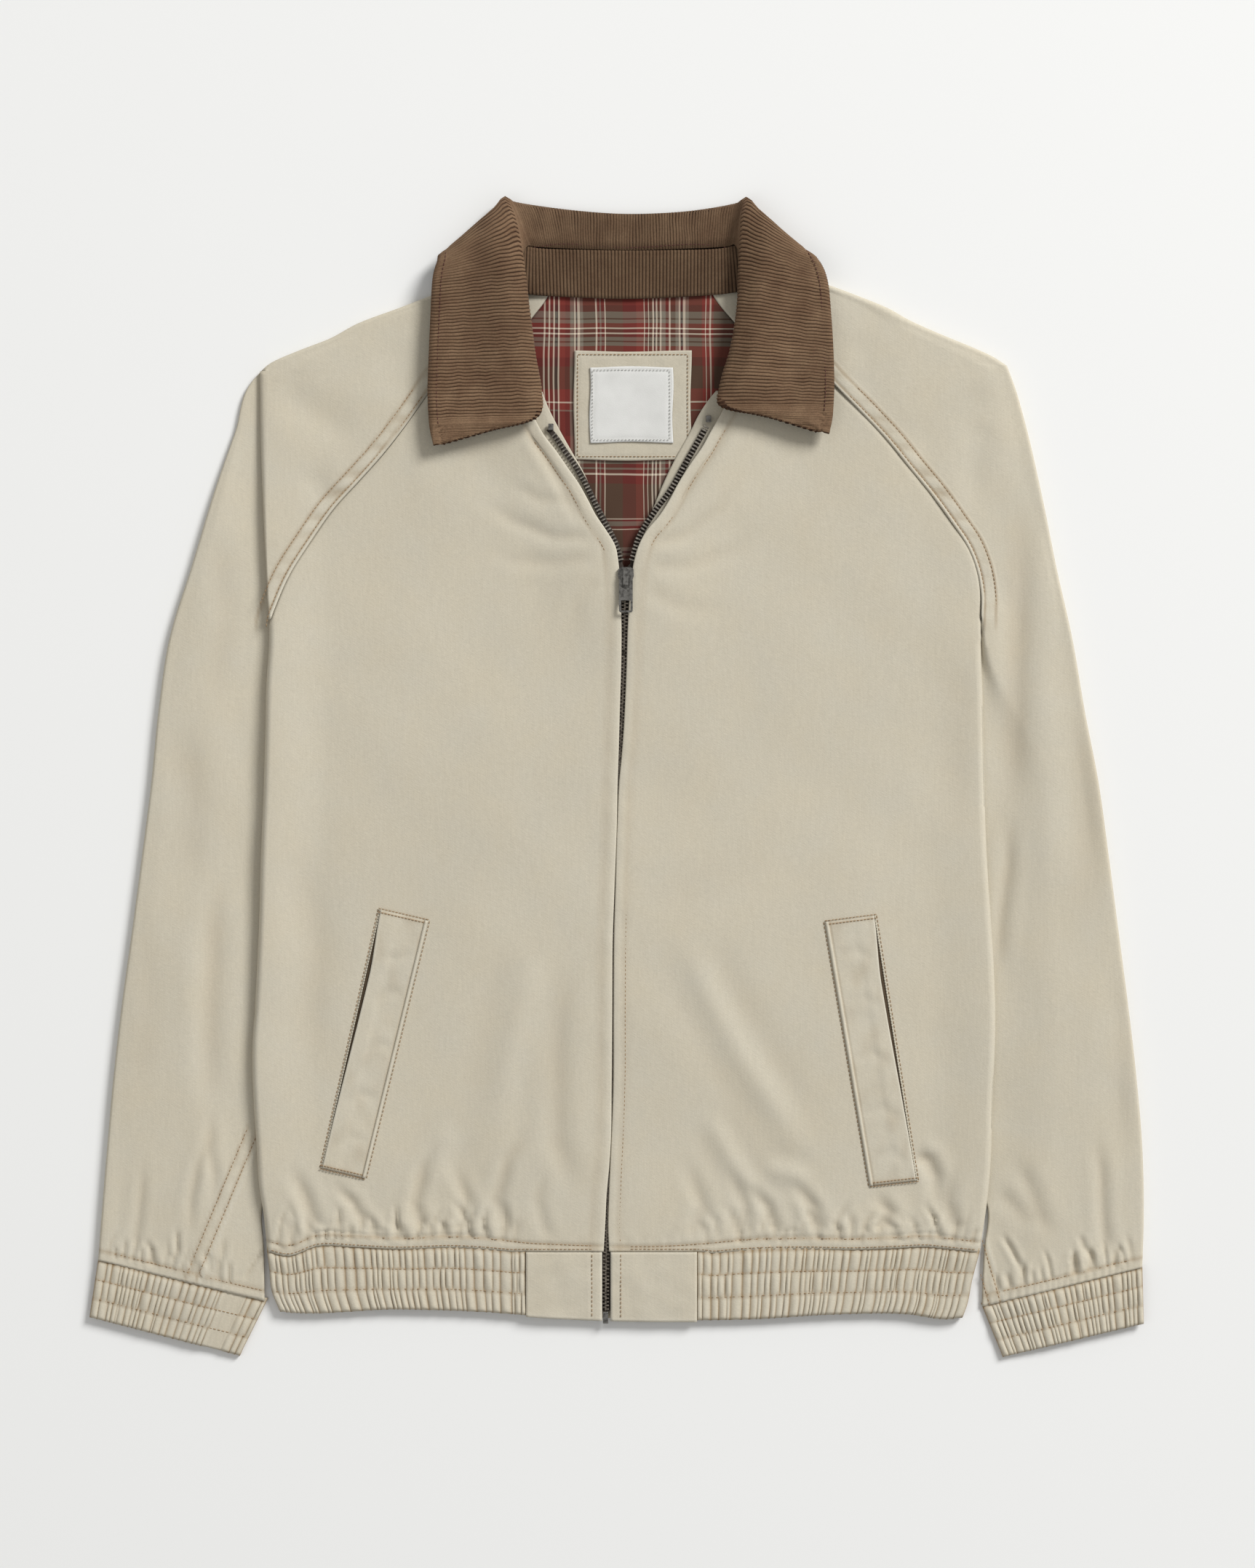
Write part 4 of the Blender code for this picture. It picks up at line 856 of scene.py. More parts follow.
khaki = twill_look("khaki_twill_worn_and_shaded", KHAKI)
khaki_plain = twill_look("khaki_twill_inner", tinted(KHAKI, 0.93), use_wear_and_shading=False)
corduroy = corduroy_look()
plaid = plaid_look()
satin = satin_look()
tape = fine_look("tape_weave", (0.0004, 0.0011, 0.001), 1.0, (0.020, 0.015, 0.012), (0.062, 0.046, 0.034), 0.9, 0.6,
                 0.0003)
steel = metal_look("gunmetal_rubbed", (0.10, 0.094, 0.086), (0.26, 0.25, 0.23), 0.27)
teeth_metal = metal_look("gunmetal_teeth", (0.11, 0.095, 0.08), (0.44, 0.40, 0.34), 0.26)
chain_metal = metal_look("gunmetal_chain", (0.07, 0.058, 0.045), (0.30, 0.26, 0.21), 0.28)
# Near-black twill as painted shadow down the pockets' slits.
pocket_painted_shadow = twill_look("khaki_twill_painted_shadow", (0.085, 0.060, 0.036), use_wear_and_shading=False)
tan_thread = thread_look("thread_tan", TAN_THREAD)
red_thread = thread_look("thread_russet", (0.075, 0.016, 0.012))
white_thread = thread_look("thread_white", (0.62, 0.61, 0.57))


# ---------------------------------------------------------------- fronts

FRONT_ACROSS = 96
ARC = 8
RETURN_COLS = 3
UNDER_COLS = 3
LIP = 5
LIP_DROP = 1.0


def front_points(piece, y):
    """The front from under its folded zip edge, over the edge, out to the side fold and under it."""
    hand = piece["side"]
    y = y[:, None]
    folded = y <= piece["fold_top"]
    start = piece["inner"](y)
    stop = np.where(folded, piece["edge"](y), piece["raglan"](y) - hand * SEAM / 2)
    t = share(FRONT_ACROSS, 1)
    t = mix(t, 1 - (1 - t) ** 2, 0.2)
    lip = LIP_DROP / 2
    x = mix(start + hand * lip, stop, t)
    z = front_top(piece, x, y)
    low = fold_height(y)
    fold = (front_height(piece, piece["edge"](y), y) - low) / 2
    z = np.where(folded | (piece is LEFT), rounded(z, inside(piece, x, y), fold), z)
    edge_z = front_top(piece, start + hand * lip, y)
    turn = share(LIP) * math.pi
    lip_x = start + hand * lip * (1 - np.sin(turn))
    lip_z = edge_z - lip * (1 + np.cos(turn))
    under_x = start + hand * np.linspace(8.0, 1.5, UNDER_COLS)[None, :]
    under_z = np.broadcast_to(edge_z - LIP_DROP, under_x.shape)
    arc = share(ARC, 1) * math.pi / 2
    arc_x = stop - hand * FOLD_SQUASH * fold * (1 - np.cos(arc))
    arc_z = low + fold * (1 - np.sin(arc))
    back_x = stop - hand * np.linspace(fold[:, 0], RETURN, RETURN_COLS + 1).T[:, 1:]
    back_z = np.broadcast_to(low, back_x.shape)
    xs = joined(under_x, lip_x, x, arc_x, back_x)
    ys = y + hem_shift(xs) * ease((-298 - y) / 27)
    return as_points(xs, ys, joined(under_z, lip_z, z, arc_z, back_z))


def front_wear_and_shading(piece, x, y):
    """Pale along the zip's and the side's folded edges as wear and painted highlight, tan as painted shade along the
    stitched rows and at the hem band's seam; painted shade and highlight in the creases.
    """
    far = off_curve(piece, "inner", x, y)
    total = 0.5 + 0.14 * bell(far, 1.6) - 0.13 * bell(far - 7.9, 1.5)
    # Creases tint the cloth: painted shade in their troughs, painted highlight on their ridges.
    total = total + np.clip(creases(x, y, FRONT_CREASES[piece["name"]]), -1.5, 1.0) * 0.045
    total = total + 0.10 * bell(inside(piece, x, y), 2.5)
    return total - 0.20 * bell(y - HEM_STITCH(x), 1.5) - 0.09 * bell(y - HEM_Y - 1.2, 1.4)


def make_fronts():
    for piece in SIDES:
        top = piece["fold_top"]
        y = spaced((HEM_Y, -292, 1.4), (-292, -250, 2.4), (-250, top, 3.4), (top + 0.3, 319, 2.8))
        points = front_points(piece, y)
        keep = every_square(points)
        keep[y[:-1] >= top - 0.01, UNDER_COLS + LIP + FRONT_ACROSS:] = False
        thing = cloth("front_" + piece["name"], points, TWILL, khaki, keep=keep, flip=piece is RIGHT)
        paint_wear_and_shading(thing, partial(front_wear_and_shading, piece))


# ---------------------------------------------------------------- back

BACK_SEAM_Y = 97
NECK_WEST = -58.0
NECK_EAST = 70.0
FLAP = 8


def make_back():
    """The back panel on the floor, with a flap at each side up to the fold of the front."""
    y = spaced((HEM_Y, BACK_SEAM_Y, 8.0), (BACK_SEAM_Y, 330, 6.0))[:, None]
    low = y <= BACK_SEAM_Y
    flap = share(FLAP, 1)
    columns = []
    for piece, neck_x in ((LEFT, NECK_WEST), (RIGHT, NECK_EAST)):
        hand = piece["side"]
        seam = piece["edge"](y) - hand * (RETURN + SEAM)
        start = hand * np.minimum(hand * (piece["hidden"](y) - hand * FLAP_START), hand * seam - 9)
        start = np.where(y > 100, piece["back_raglan"](y), start)
        start = mix(start, neck_x, ease((y - NECK_Y) / 10))
        reach = np.abs(seam - start)
        climb = np.minimum(reach * 0.5, FLAP_REACH)
        x = np.where(low, start + hand * flap * reach, start + hand * flap * 0.01)
        z = np.where(low, mix(FLOOR, fold_height(y), ease(flap * reach / climb)), FLOOR)
        columns.append((start, x, z))
    (west, west_x, west_z), (east, east_x, east_z) = columns
    x = mix(west, east, share(60))
    z = np.full_like(x, FLOOR)
    points = as_points(joined(west_x[:, ::-1], x, east_x), y, joined(west_z[:, ::-1], z, east_z))
    keep = every_square(points)
    for flap_cols in (slice(FLAP), slice(-FLAP, None)):
        keep[y[1:, 0] > BACK_SEAM_Y, flap_cols] = False
    paint_wear_and_shading(cloth("back", points, BACK_WALL, khaki, keep=keep), lambda x, y: np.full_like(x, 0.5))


# ---------------------------------------------------------------- sleeves

CAP = 46
FOLD = 7
TUCK = 3
TURN = 6
SPREAD = 56
ROUND = 10
BEHIND = 10
LEFT_PAD = CAP + FOLD + TUCK + TURN
RIGHT_SPREAD = SPREAD + CAP // 2
SHOULDER_SLANT = 2.4
OUTER_SQUASH = 0.6
CUFF_SLOPE = 0.25
CUFF_SHIFT = [(-310, 0.55), (-290, 0.25), (-262, 0.08), (-240, 0.0)]


def sleeve_bounds(piece, y):
    """Where the sleeve meets the front and the back, along its raglan seams."""
    y = np.minimum(y, NECK_Y)
    return piece["raglan"](y) + piece["side"] * SEAM / 2, piece["back_raglan"](y) + piece["side"] * SEAM


def tube(piece, y, height, start, stop, edge, high, slant, front, middle, power):
    """Columns of a sleeve's front layer, of its round outer edge, and of its back layer on the floor."""
    radius = (high - FLOOR) / 2
    brink = edge - piece["side"] * slant * radius
    x = mix(start, brink, share(front))
    z = mix(height(piece, x, y), high, share(front) ** power)
    angle = math.pi * share(middle, 1)
    round_x = edge - piece["side"] * slant * radius * (1 - np.sin(angle))
    round_z = FLOOR + radius * (1 + np.cos(angle))
    back_x = mix(brink, stop, share(BEHIND, 1))
    return joined(x, round_x, back_x), joined(z, round_z, np.full_like(back_x, FLOOR))


def shoulder_zone(piece, y, front, middle):
    """Above the shoulder tip: cap, round shoulder edge, back."""
    start, stop = sleeve_bounds(piece, y)
    edge = piece["shoulder"](y)
    high = front_height(piece, edge - piece["side"] * 4, y)
    slant = mix(1.3, SHOULDER_SLANT, ease((y - piece["tip"]) / 15))
    return tube(piece, y, front_height, start, stop, edge, high, slant, front, middle, 6)


def spread_zone(piece, y, start, stop, front):
    """The sleeve's own front layer, its outer edge and its back layer."""
    outer = piece["outer"](y)
    high = sleeve_height(piece, outer - piece["side"] * 3, y)
    return tube(piece, y, sleeve_height, start, stop, outer, high, OUTER_SQUASH, front, ROUND, 8)


def folded_zone(piece, y):
    """Between the underarm and the tip on the left: cap, fold under, hidden layer, fold out, sleeve."""
    hand = piece["side"]
    start, stop = sleeve_bounds(piece, y)
    edge = piece["edge"](y)
    radius = (front_height(piece, edge, y) - OVER) / 2
    cap_x = mix(start, edge, share(CAP))
    cap_z = rounded(front_height(piece, cap_x, y), inside(piece, cap_x, y), radius)
    turn = math.pi / 2 * share(FOLD, 1)
    fold_x = edge - hand * FOLD_SQUASH * radius * (1 - np.cos(turn))
    fold_z = OVER + radius * (1 - np.sin(turn))
    tight = LAYER / 2
    near = np.maximum(piece["hidden"](y) - tight, edge + radius + 0.2)
    tuck_x = mix(edge + radius, near, share(TUCK, 1))
    angle = math.pi * share(TURN, 1)
    turn_x = near + tight * np.sin(angle)
    turn_z = UNDER + tight * (1 + np.cos(angle))
    xs, zs = spread_zone(piece, y, near, stop, SPREAD)
    return (joined(cap_x, fold_x, tuck_x, turn_x, xs[:, 1:]),
            joined(cap_z, fold_z, np.full_like(tuck_x, OVER), turn_z, zs[:, 1:]))


def cap_relief(piece, x, y):
    total = loose_relief(x, y, piece["cap_seed"])
    total = total + creases(x, y, CAP_CREASES[piece["name"]])
    return total + raglan_relief(piece, x, y, on_sleeve=True)


UNDERARM = {"left": ((-246.5, -244), (-286.5, -341)), "right": ((251, -313), (265, -361))}
UNDERARM_WIDE = 7.6
CUFFS = {
    # corners: top outer, top inner, bottom outer, bottom inner
    "left": ((-355.5, -331.4), (-241, -360.2), (-361.5, -370), (-259, -396.6)),
    "right": ((362, -336.4), (253, -363.4), (363, -374.5), (267, -397.5)),
}


def underarm_place(piece, x, y):
    """How far a point lies across the underarm's double seam and along it, and the seam's length."""
    (ax, ay), (bx, by) = UNDERARM[piece["name"]]
    length = math.hypot(bx - ax, by - ay)
    across = ((x - ax) * (by - ay) - (y - ay) * (bx - ax)) / length
    return across, ((x - ax) * (bx - ax) + (y - ay) * (by - ay)) / length, length


def cuff_row(piece, x):
    """The stitched row above the cuff, as y at each x."""
    (ax, ay), (bx, by) = CUFFS[piece["name"]][:2]
    return mix(ay, by, (x - ax) / (bx - ax)) + ROW_ABOVE


def underarm_relief(piece, x, y):
    """The double seam that shows low on the sleeve."""
    across, run, length = underarm_place(piece, x, y)
    on = ease((run + 6) / 8) * ease((length + 16 - run) / 8)
    strip = 0.35 * ease((across + 1.5) / 1.5) * ease((UNDERARM_WIDE + 1.5 - across) / 1.5)
    ridge = 0.55 * bell(across + 2.6, 0.9)
    pucker = 0.3 * swell(run, across * 0.2, 9.0, 77) * bell(across - 3.8, 3.0)
    return on * (strip + ridge + pucker + groove(across, 0.7, 0.35) + groove(across - UNDERARM_WIDE, 0.7, 0.35))


def cuff_seam_relief(piece, x, y):
    """The stitched row above the cuff and the gathers under it."""
    above = y - cuff_row(piece, x)
    gathers = 0.30 * np.sin(2 * math.pi * x / 4.7 + 2.0 * np.sin(x / 8.0)) * ease((3 - above) / 6)
    return groove(above, 0.9, 0.5) + gathers


def sleeve_relief(piece, x, y):
    total = loose_relief(x, y, piece["cap_seed"] + 10)
    total = total + creases(x, y, SLEEVE_CREASES[piece["name"]])
    total = total + underarm_relief(piece, x, y) + cuff_seam_relief(piece, x, y)
    return np.clip(total, -2.6, 2.2)


def slanted_end(piece, x, y):
    """Rows tilt towards the cuff's sloping seam near the sleeve's end."""
    tilt = track([(piece["cuff_start"], 1.0), *CUFF_SHIFT])
    return y - CUFF_SLOPE * np.abs(x - piece["outer"](y)) * tilt(y)


def fading(width, first, count, sharp):
    """A row of numbers: one over a zone of columns, fading out at the zone's end, and zero elsewhere."""
    row = np.zeros((1, width))
    row[0, first:first + count + 1] = ease((1 - share(count)[0]) * sharp)
    return row


def shoulder_points(piece, stop, front, middle):
    """The sleeve above its shoulder tip, with the creases of its cap."""
    y = spaced((piece["tip"] + 0.5, stop, 1.8))[:, None]
    xs, zs = shoulder_zone(piece, y, front, middle)
    ys = y + 0 * xs
    return as_points(xs, ys, zs + fading(xs.shape[1], 0, front, 7) * cap_relief(piece, xs, ys))


def left_sleeve():
    """The left sleeve hangs from a fold: below the underarm it has only the columns of its own layers."""
    low = spaced((LEFT["cuff_start"], -300, 1.4), (-300, -250, 2.2), (-250, ARM_LEFT_Y, 3.4))[:, None]
    xs, zs = spread_zone(LEFT, low, LEFT["hidden"](low), LEFT["hidden"](low), SPREAD)
    ys = slanted_end(LEFT, xs, low)
    own = as_points(xs, ys, zs + sleeve_relief(LEFT, xs, ys) * fading(xs.shape[1], 0, SPREAD, 9))
    below = np.concatenate([np.repeat(own[:, :1], LEFT_PAD, axis=1), own], axis=1)
    mid = spaced((ARM_LEFT_Y + 0.6, LEFT["tip"], 2.6))[:, None]
    xs, zs = folded_zone(LEFT, mid)
    ys = mid + 0 * xs
    width = xs.shape[1]
    cap = mix(1.0 * (np.arange(width) <= CAP)[None], fading(width, 0, CAP, 7), ease((mid - 215) / 60))
    own = fading(width, LEFT_PAD, SPREAD, 9) * ease((LEFT["tip"] - 4 - mid) / 22)
    zs = zs + cap * cap_relief(LEFT, xs, ys) + own * np.clip(sleeve_relief(LEFT, xs, ys), -1.2, 2.0)
    above = shoulder_points(LEFT, 340, CAP, FOLD + TUCK + TURN + SPREAD + ROUND)
    points = np.concatenate([below, as_points(xs, ys, zs), above])
    keep = every_square(points)
    keep[:len(low), :LEFT_PAD] = False
    return points, keep


def right_sleeve():
    """The right sleeve lies open from its cuff to its shoulder."""
    y = spaced((RIGHT["cuff_start"], -300, 1.4), (-300, -250, 2.2), (-250, 90, 3.4), (90, ARM_RIGHT_Y, 1.4),
               (ARM_RIGHT_Y + 0.5, RIGHT["tip"], 3.0))[:, None]
    start, stop = sleeve_bounds(RIGHT, y)
    start = np.where(y < ARM_RIGHT_Y, RIGHT["hidden"](y), start)
    xs, zs = spread_zone(RIGHT, y, start, np.where(y < 100, start, stop), RIGHT_SPREAD)
    ys = slanted_end(RIGHT, xs, y)
    cap_on = ease((y - 108) / 30) * ease((292 - xs) / 30)
    relief = mix(sleeve_relief(RIGHT, xs, ys), cap_relief(RIGHT, xs, ys), cap_on)
    below = as_points(xs, ys, zs + relief * fading(xs.shape[1], 0, RIGHT_SPREAD, 9))
    return np.concatenate([below, shoulder_points(RIGHT, 344, RIGHT_SPREAD, ROUND)]), None


def sleeve_wear_and_shading(piece, x, y):
    """Pale along the raised edges of the seams as wear and painted highlight; tan as painted shade along their
    stitched rows and beside the raised edges; painted shade and highlight on the puckers and in the creases.
    """
    far = off_curve(piece, "raglan", x, y)
    seam = ease((y - SEAM_ON) / 14) * (y < NECK_Y)
    total = 0.5 + seam * (0.26 * bell(far - 0.8, 0.8) - 0.32 * bell(far - 2.5, 1.0))
    total = total + seam * 0.14 * raglan_spots(y, far) * bell(far - 5.8, 3.6)
    total = total - seam * 0.26 * bell(far - RAGLAN_ROWS[1], 1.2)
    # Creases: painted shade in their troughs, painted highlight on their ridges.
    total = total + np.clip(creases(x, y, SLEEVE_CREASES[piece["name"]]), -1.5, 1.0) * 0.05 * (y < 240)
    total = total - 0.20 * bell(y - cuff_row(piece, x), 1.6)
    across, run, length = underarm_place(piece, x, y)
    on = ease((run + 6) / 8) * ease((length + 12 - run) / 8) * (y < -200)
    total = total + on * 0.25 * bell(across + 2.6, 0.9)
    for row in (0.0, UNDERARM_WIDE):
        total = total - on * 0.22 * bell(across - row, 1.1)
    return total


def make_sleeves():
    for piece, (points, keep) in ((LEFT, left_sleeve()), (RIGHT, right_sleeve())):
        thing = cloth("sleeve_" + piece["name"], points, TWILL, khaki, keep=keep, flip=piece is RIGHT)
        paint_wear_and_shading(thing, partial(sleeve_wear_and_shading, piece))


# ---------------------------------------------------------------- gathered bands

CUFF_GATHERS = {"left": 27, "right": 28}
CUFF_PLAIN = {"left": (0.765, 0.875), "right": (2.0, 3.0)}
CUFF_TOP = 4.9
CUFF_UNDER = 1.0
CHANNELS = 3
GATHER_COLS = 8
GATHER_HIGH = 2.1
TUCK_UP = 0.07
BAND_DEEP = 27
BAND_DOWN = np.linspace(-TUCK_UP, 1, BAND_DEEP + 1)[:, None]
BAND_TALL = 42


def gather_waves(count, seed):
    """Uneven gathers: where along a band and down it, to height 0 to 1 and 0 in the valleys."""
    rng = np.random.default_rng(seed)
    base = np.concatenate([[0], np.cumsum(rng.uniform(0.55, 1.5, count))])
    base = base / base[-1]
    channels = []
    for _ in range(CHANNELS):
        moved = base + rng.uniform(-0.30, 0.30, count + 1) / count * ease(base * 30) * ease((1 - base) * 30)
        channels.append(np.maximum.accumulate(moved))
    heights = rng.uniform(0.5, 1.0, (CHANNELS, count))
    leans = rng.uniform(0.7, 1.5, (CHANNELS, count))

    def read(t, down):
        total = 0.0
        lift = 0.0
        for k in range(CHANNELS):
            middle = (k + 0.5) / CHANNELS
            held = ease(1 - (np.abs(down - middle) * CHANNELS - 0.36) / 0.28)
            phase = np.interp(t, channels[k], np.arange(count + 1))
            gather = np.clip(np.floor(phase).astype(int), 0, count - 1)
            within = np.clip(phase - gather, 0, 1) ** leans[k, gather]
            crest = 1 - np.abs(2 * within - 1) ** 2.0
            total = total + held * crest * heights[k, gather]
            lift = lift + held * crest
        return total, lift

    return read


def channel_lift(down):
    """Gathers stand up between the stitched rows and are held down at them."""
    within = down * CHANNELS - np.floor(np.clip(down * CHANNELS, 0, CHANNELS - 1e-6))
    held = np.sin(math.pi * within) ** 0.6
    last = down > (CHANNELS - 1) / CHANNELS
    return 0.30 + 0.70 * np.where(last, np.sin(math.pi / 2 * within) ** 0.6, held)


def gather_wear_and_shading(crest, down):
    """Pale on a gather's fold as painted highlight, tan as painted shade down in its valley and along the stitched
    rows.
    """
    rows = sum(bell((down - at) * BAND_TALL, 1.0) for at in (0.02, 1 / 3, 2 / 3))
    return 0.455 + 0.16 * (crest - 0.6) - 0.28 * bell(crest, 0.34) - 0.20 * rows


def band_wave(waves, t, down, least):
    """How high a band's front is gathered, how near a crest it is, and how clear of the seam above it."""
    tall, crest = waves(t, np.clip(down, 0, 1))
    clear = ease((down + 0.02) / 0.10)
    return tall * channel_lift(np.clip(down, 0, 1)) * GATHER_HIGH * mix(least, 1.0, clear), crest, clear


def back_wave(waves, t, down):
    """How high a band's underside is gathered, and how near a crest it is."""
    tall, crest = waves(t, np.clip(down, 0, 1))
    return 0.9 * tall * channel_lift(np.clip(down, 0, 1)) * ease(down * 9), crest


def scallop(crest, down):
    """The wavy lower edge of a gathered band."""
    return 1.1 * (crest - 0.5) * ease((down - 0.88) / 0.12)


def spot(corners, t, down):
    """The x and y of a point of a four-cornered strip, t across it and down its length."""
    return [mix(mix(a, b, t), mix(c, d, t), down) for a, b, c, d in zip(*corners)]


CUFF_WAVES = {"left": gather_waves(CUFF_GATHERS["left"], 5), "right": gather_waves(CUFF_GATHERS["right"], 6)}
BACK_WAVES = gather_waves(22, 9)


def cuff_plain(piece, t):
    """One where the cuff's ungathered strip runs."""
    start, stop = CUFF_PLAIN[piece["name"]]
    return ease((t - start + 0.02) / 0.03) * ease((stop + 0.02 - t) / 0.03)


def cuff_face(piece, t, down):
    """The cuff's front face: its point in plan, its height with the gathers, and how near a crest it is."""
    corners = CUFFS[piece["name"]]
    start, stop = corners[0][0], corners[1][0]
    x, y = spot(corners, t, down)
    plain = cuff_plain(piece, t)
    wave, crest, clear = band_wave(CUFF_WAVES[piece["name"]], t, down, 0.2)
    high = sleeve_height(piece, mix(start, stop, t), HEM_Y - 5)
    level = mix(high, CUFF_TOP, 0.5 * ease(down)) - CUFF_UNDER
    to_side = np.minimum(t, 1 - t) * abs(stop - start) + 0.2
    z = rounded(level + wave * (1 - 0.85 * plain) - 0.1 * (1 - clear), to_side, (level - FLOOR) / 2)
    return x, y + scallop(crest, down) * (1 - plain), z, mix(crest, 0.7, plain)


def make_cuffs():
    for piece in SIDES:
        count = CUFF_GATHERS[piece["name"]] * GATHER_COLS
        t, down = np.broadcast_arrays(share(count), BAND_DOWN)
        behind, down_b = np.broadcast_arrays(1 - share(count // 2), BAND_DOWN)
        x, y, z, crest = cuff_face(piece, t, down)
        back_x, back_y, _, _ = cuff_face(piece, behind, down_b)
        wave, back_crest = back_wave(BACK_WAVES, behind, down_b)
        back_z = FLOOR + wave * np.sin(math.pi * np.clip(behind, 0, 1)) ** 0.3
        face = mix(gather_wear_and_shading(crest, down), 0.47, cuff_plain(piece, t))
        wear_and_shading = np.clip(joined(face, gather_wear_and_shading(back_crest, down_b)), 0, 1)
        points = as_points(joined(x, back_x), joined(y, back_y), joined(z, back_z))
        cloth("cuff_" + piece["name"], points, TWILL, khaki, flip=piece is LEFT, layers=[("wear_and_shading", wear_and_shading)])


HEM_BOTTOM = track([
    (-240, -364.5), (-230, -366), (-148, -364.5), (-80, -367), (-61, -368.5), (56, -372), (94, -371.3), (152, -368),
    (202, -368), (228, -371.3), (242, -369.5),
])
HEM_FOLDS = {
    "left": track([(-325, -239.5), (-337, -238), (-354, -236), (-366, -230.7)]),
    "right": track([(-325, 250.2), (-344, 245), (-361, 241), (-370, 236.4)]),
}
HEM_LOW = -366
TAB_X = {"left": -61.6, "right": 56.0}
HEM_GATHERS = {"left": 38, "right": 42, "back": 44}
HEM_WAVES = {side: gather_waves(count, 60 + k) for k, (side, count) in enumerate(HEM_GATHERS.items())}


def hem_level(piece, x, y):
    """Height of the hem's front layer, kept level with the fronts at the seam."""
    return mix(front_height(piece, x, HEM_Y), zip_height(piece, x, HEM_Y), ease((HEM_Y - y) / 20))


def hem_face(piece, t, down):
    """The hem band from the plain tab, t 0, to the side fold, t 1."""
    side, hand = piece["name"], piece["side"]
    y_side = mix(HEM_Y, HEM_LOW, down)
    fold = HEM_FOLDS[side](y_side)
    x = mix(TAB_X[side] + hand * SEAM, fold, t)
    level = hem_level(piece, x, y_side)
    wave, crest, clear = band_wave(HEM_WAVES[side], t, down, 0.15)
    z = rounded(level - 0.95 + wave - 0.15 * (1 - clear), hand * (fold - x), (level - FLOOR) / 2)
    return x, mix(HEM_Y + hem_shift(x), HEM_BOTTOM(x), down) + scallop(crest, down), z, crest


def make_hem():
    """The gathered band from tab to tab round the back, and the two plain tabs."""
    faces = []
    for piece in SIDES:
        grid = np.broadcast_arrays(share(HEM_GATHERS[piece["name"]] * GATHER_COLS), BAND_DOWN)
        faces.append(hem_face(piece, *grid))
    left, right = faces[0], [grid[:, ::-1] for grid in faces[1]]
    t, down = np.broadcast_arrays(share(HEM_GATHERS["back"] * 2), BAND_DOWN)
    west, east = (HEM_FOLDS[side](mix(HEM_Y, HEM_LOW, BAND_DOWN)) for side in ("left", "right"))
    x = mix(west + 2.5, east - 2.5, t)
    y = mix(HEM_Y - SEAM, HEM_BOTTOM(x), np.clip(down, 0, 1))
    wave, crest = back_wave(HEM_WAVES["back"], t, down)
    x, y, z, crest = (joined(*zones) for zones in zip(left, (x, y, FLOOR + wave, crest), right))
    wear_and_shading = np.clip(gather_wear_and_shading(crest, BAND_DOWN), 0, 1)
    cloth("hem_band", as_points(x, y, z), TWILL, khaki, layers=[("wear_and_shading", wear_and_shading)])
    for piece in SIDES:
        hand, edge = piece["side"], piece["inner"](HEM_Y)
        x = mix(edge + hand * 0.6, TAB_X[piece["name"]], share(30))
        x, y = np.broadcast_arrays(x, mix(HEM_Y - SEAM, HEM_BOTTOM(x) - 1.5, share(26).T))
        z = hem_level(piece, x, y) + 0.25 * swell(x, y, 30.0, 88) + 0.15 * swell(x, y, 12.0, 89)
        z = z + groove(hand * (x - edge) - ZIP_ROW, 0.9, 0.35)
        thing = cloth("hem_tab_" + piece["name"], as_points(x, y, z), TAB_WALL, khaki, flip=piece is LEFT)
        # Pale along the tab's zip edge and lower edge, as wear and painted highlight.
        paint_wear_and_shading(thing, lambda x, y: (0.5 + 0.35 * bell(hand * (x - edge), 1.8)
                                        + 0.30 * bell(y - HEM_BOTTOM(x) + 1.5, 1.6)))


# ---------------------------------------------------------------- collar

# over: 1 for a leaf that lies on top, 0 for the fall behind; cut: 1 where the leaf's end is cut at a slant
# then roll line, outer edge and inner seam, x, y
COLLAR_ROWS = [
    (1.00, 1, -118, 230, -124.5, 229, -118, 230),
    (1.00, 1, -86, 239, -126.6, 237.5, -86, 239),
    (1.00, 0.9, -54.5, 248, -127.8, 246.5, -55.5, 248),
    (1.00, 0.2, -51.5, 266, -128.6, 264.5, -60, 268),
    (1.00, 0, -56, 292, -127.8, 290, -65.5, 293),
    (1.00, 0, -60, 322, -126.6, 318, -69, 321),
    (1.00, 0, -63.5, 352, -125.2, 342, -66.5, 346),
    (0.97, 0, -69, 382, -122, 353.5, -64, 360),
    (0.55, 0, -74.5, 398, -119.5, 359.5, -60.5, 366),
    (0.05, 0, -66, 395.5, -106, 358.5, -55, 366),
    (0.00, 0, -30, 391, -48, 346, -28, 364.6),
    (0.00, 0, 8, 388.5, 9, 342, 8, 363.6),
    (0.00, 0, 46, 390, 64, 347, 46, 364.6),
    (0.05, 0, 80, 394.5, 118, 359, 76, 366),
    (0.55, 0, 89, 397.5, 131.6, 360.5, 82, 367),
    (0.97, 0, 87, 382, 139, 355, 86, 360),
    (1.00, 0, 85.5, 354, 145.2, 341, 90, 347),
    (1.00, 0, 84, 324, 147.8, 315, 94, 322),
    (1.00, 0, 80, 296, 149.3, 290, 90, 296),
    (1.00, 0.2, 72.5, 270, 149.8, 268, 81, 271),
    (1.00, 0.9, 73, 255, 149.2, 255, 76, 256),
    (1.00, 1, 104, 248.5, 148.4, 246.5, 104, 248.5),
    (1.00, 1, 138, 238.5, 146.5, 237.5, 138, 238.5),
]
COLLAR = curve(np.arange(len(COLLAR_ROWS)), np.array(COLLAR_ROWS))
COLLAR_OVER = {"seam": 11.6, "roll": 15.6, "crown": 20.5, "edge": 16.0}
COLLAR_UNDER = {"seam": 5.8, "roll": 3.9, "crown": 1.9, "edge": 1.7}
COLLAR_ACROSS = 22
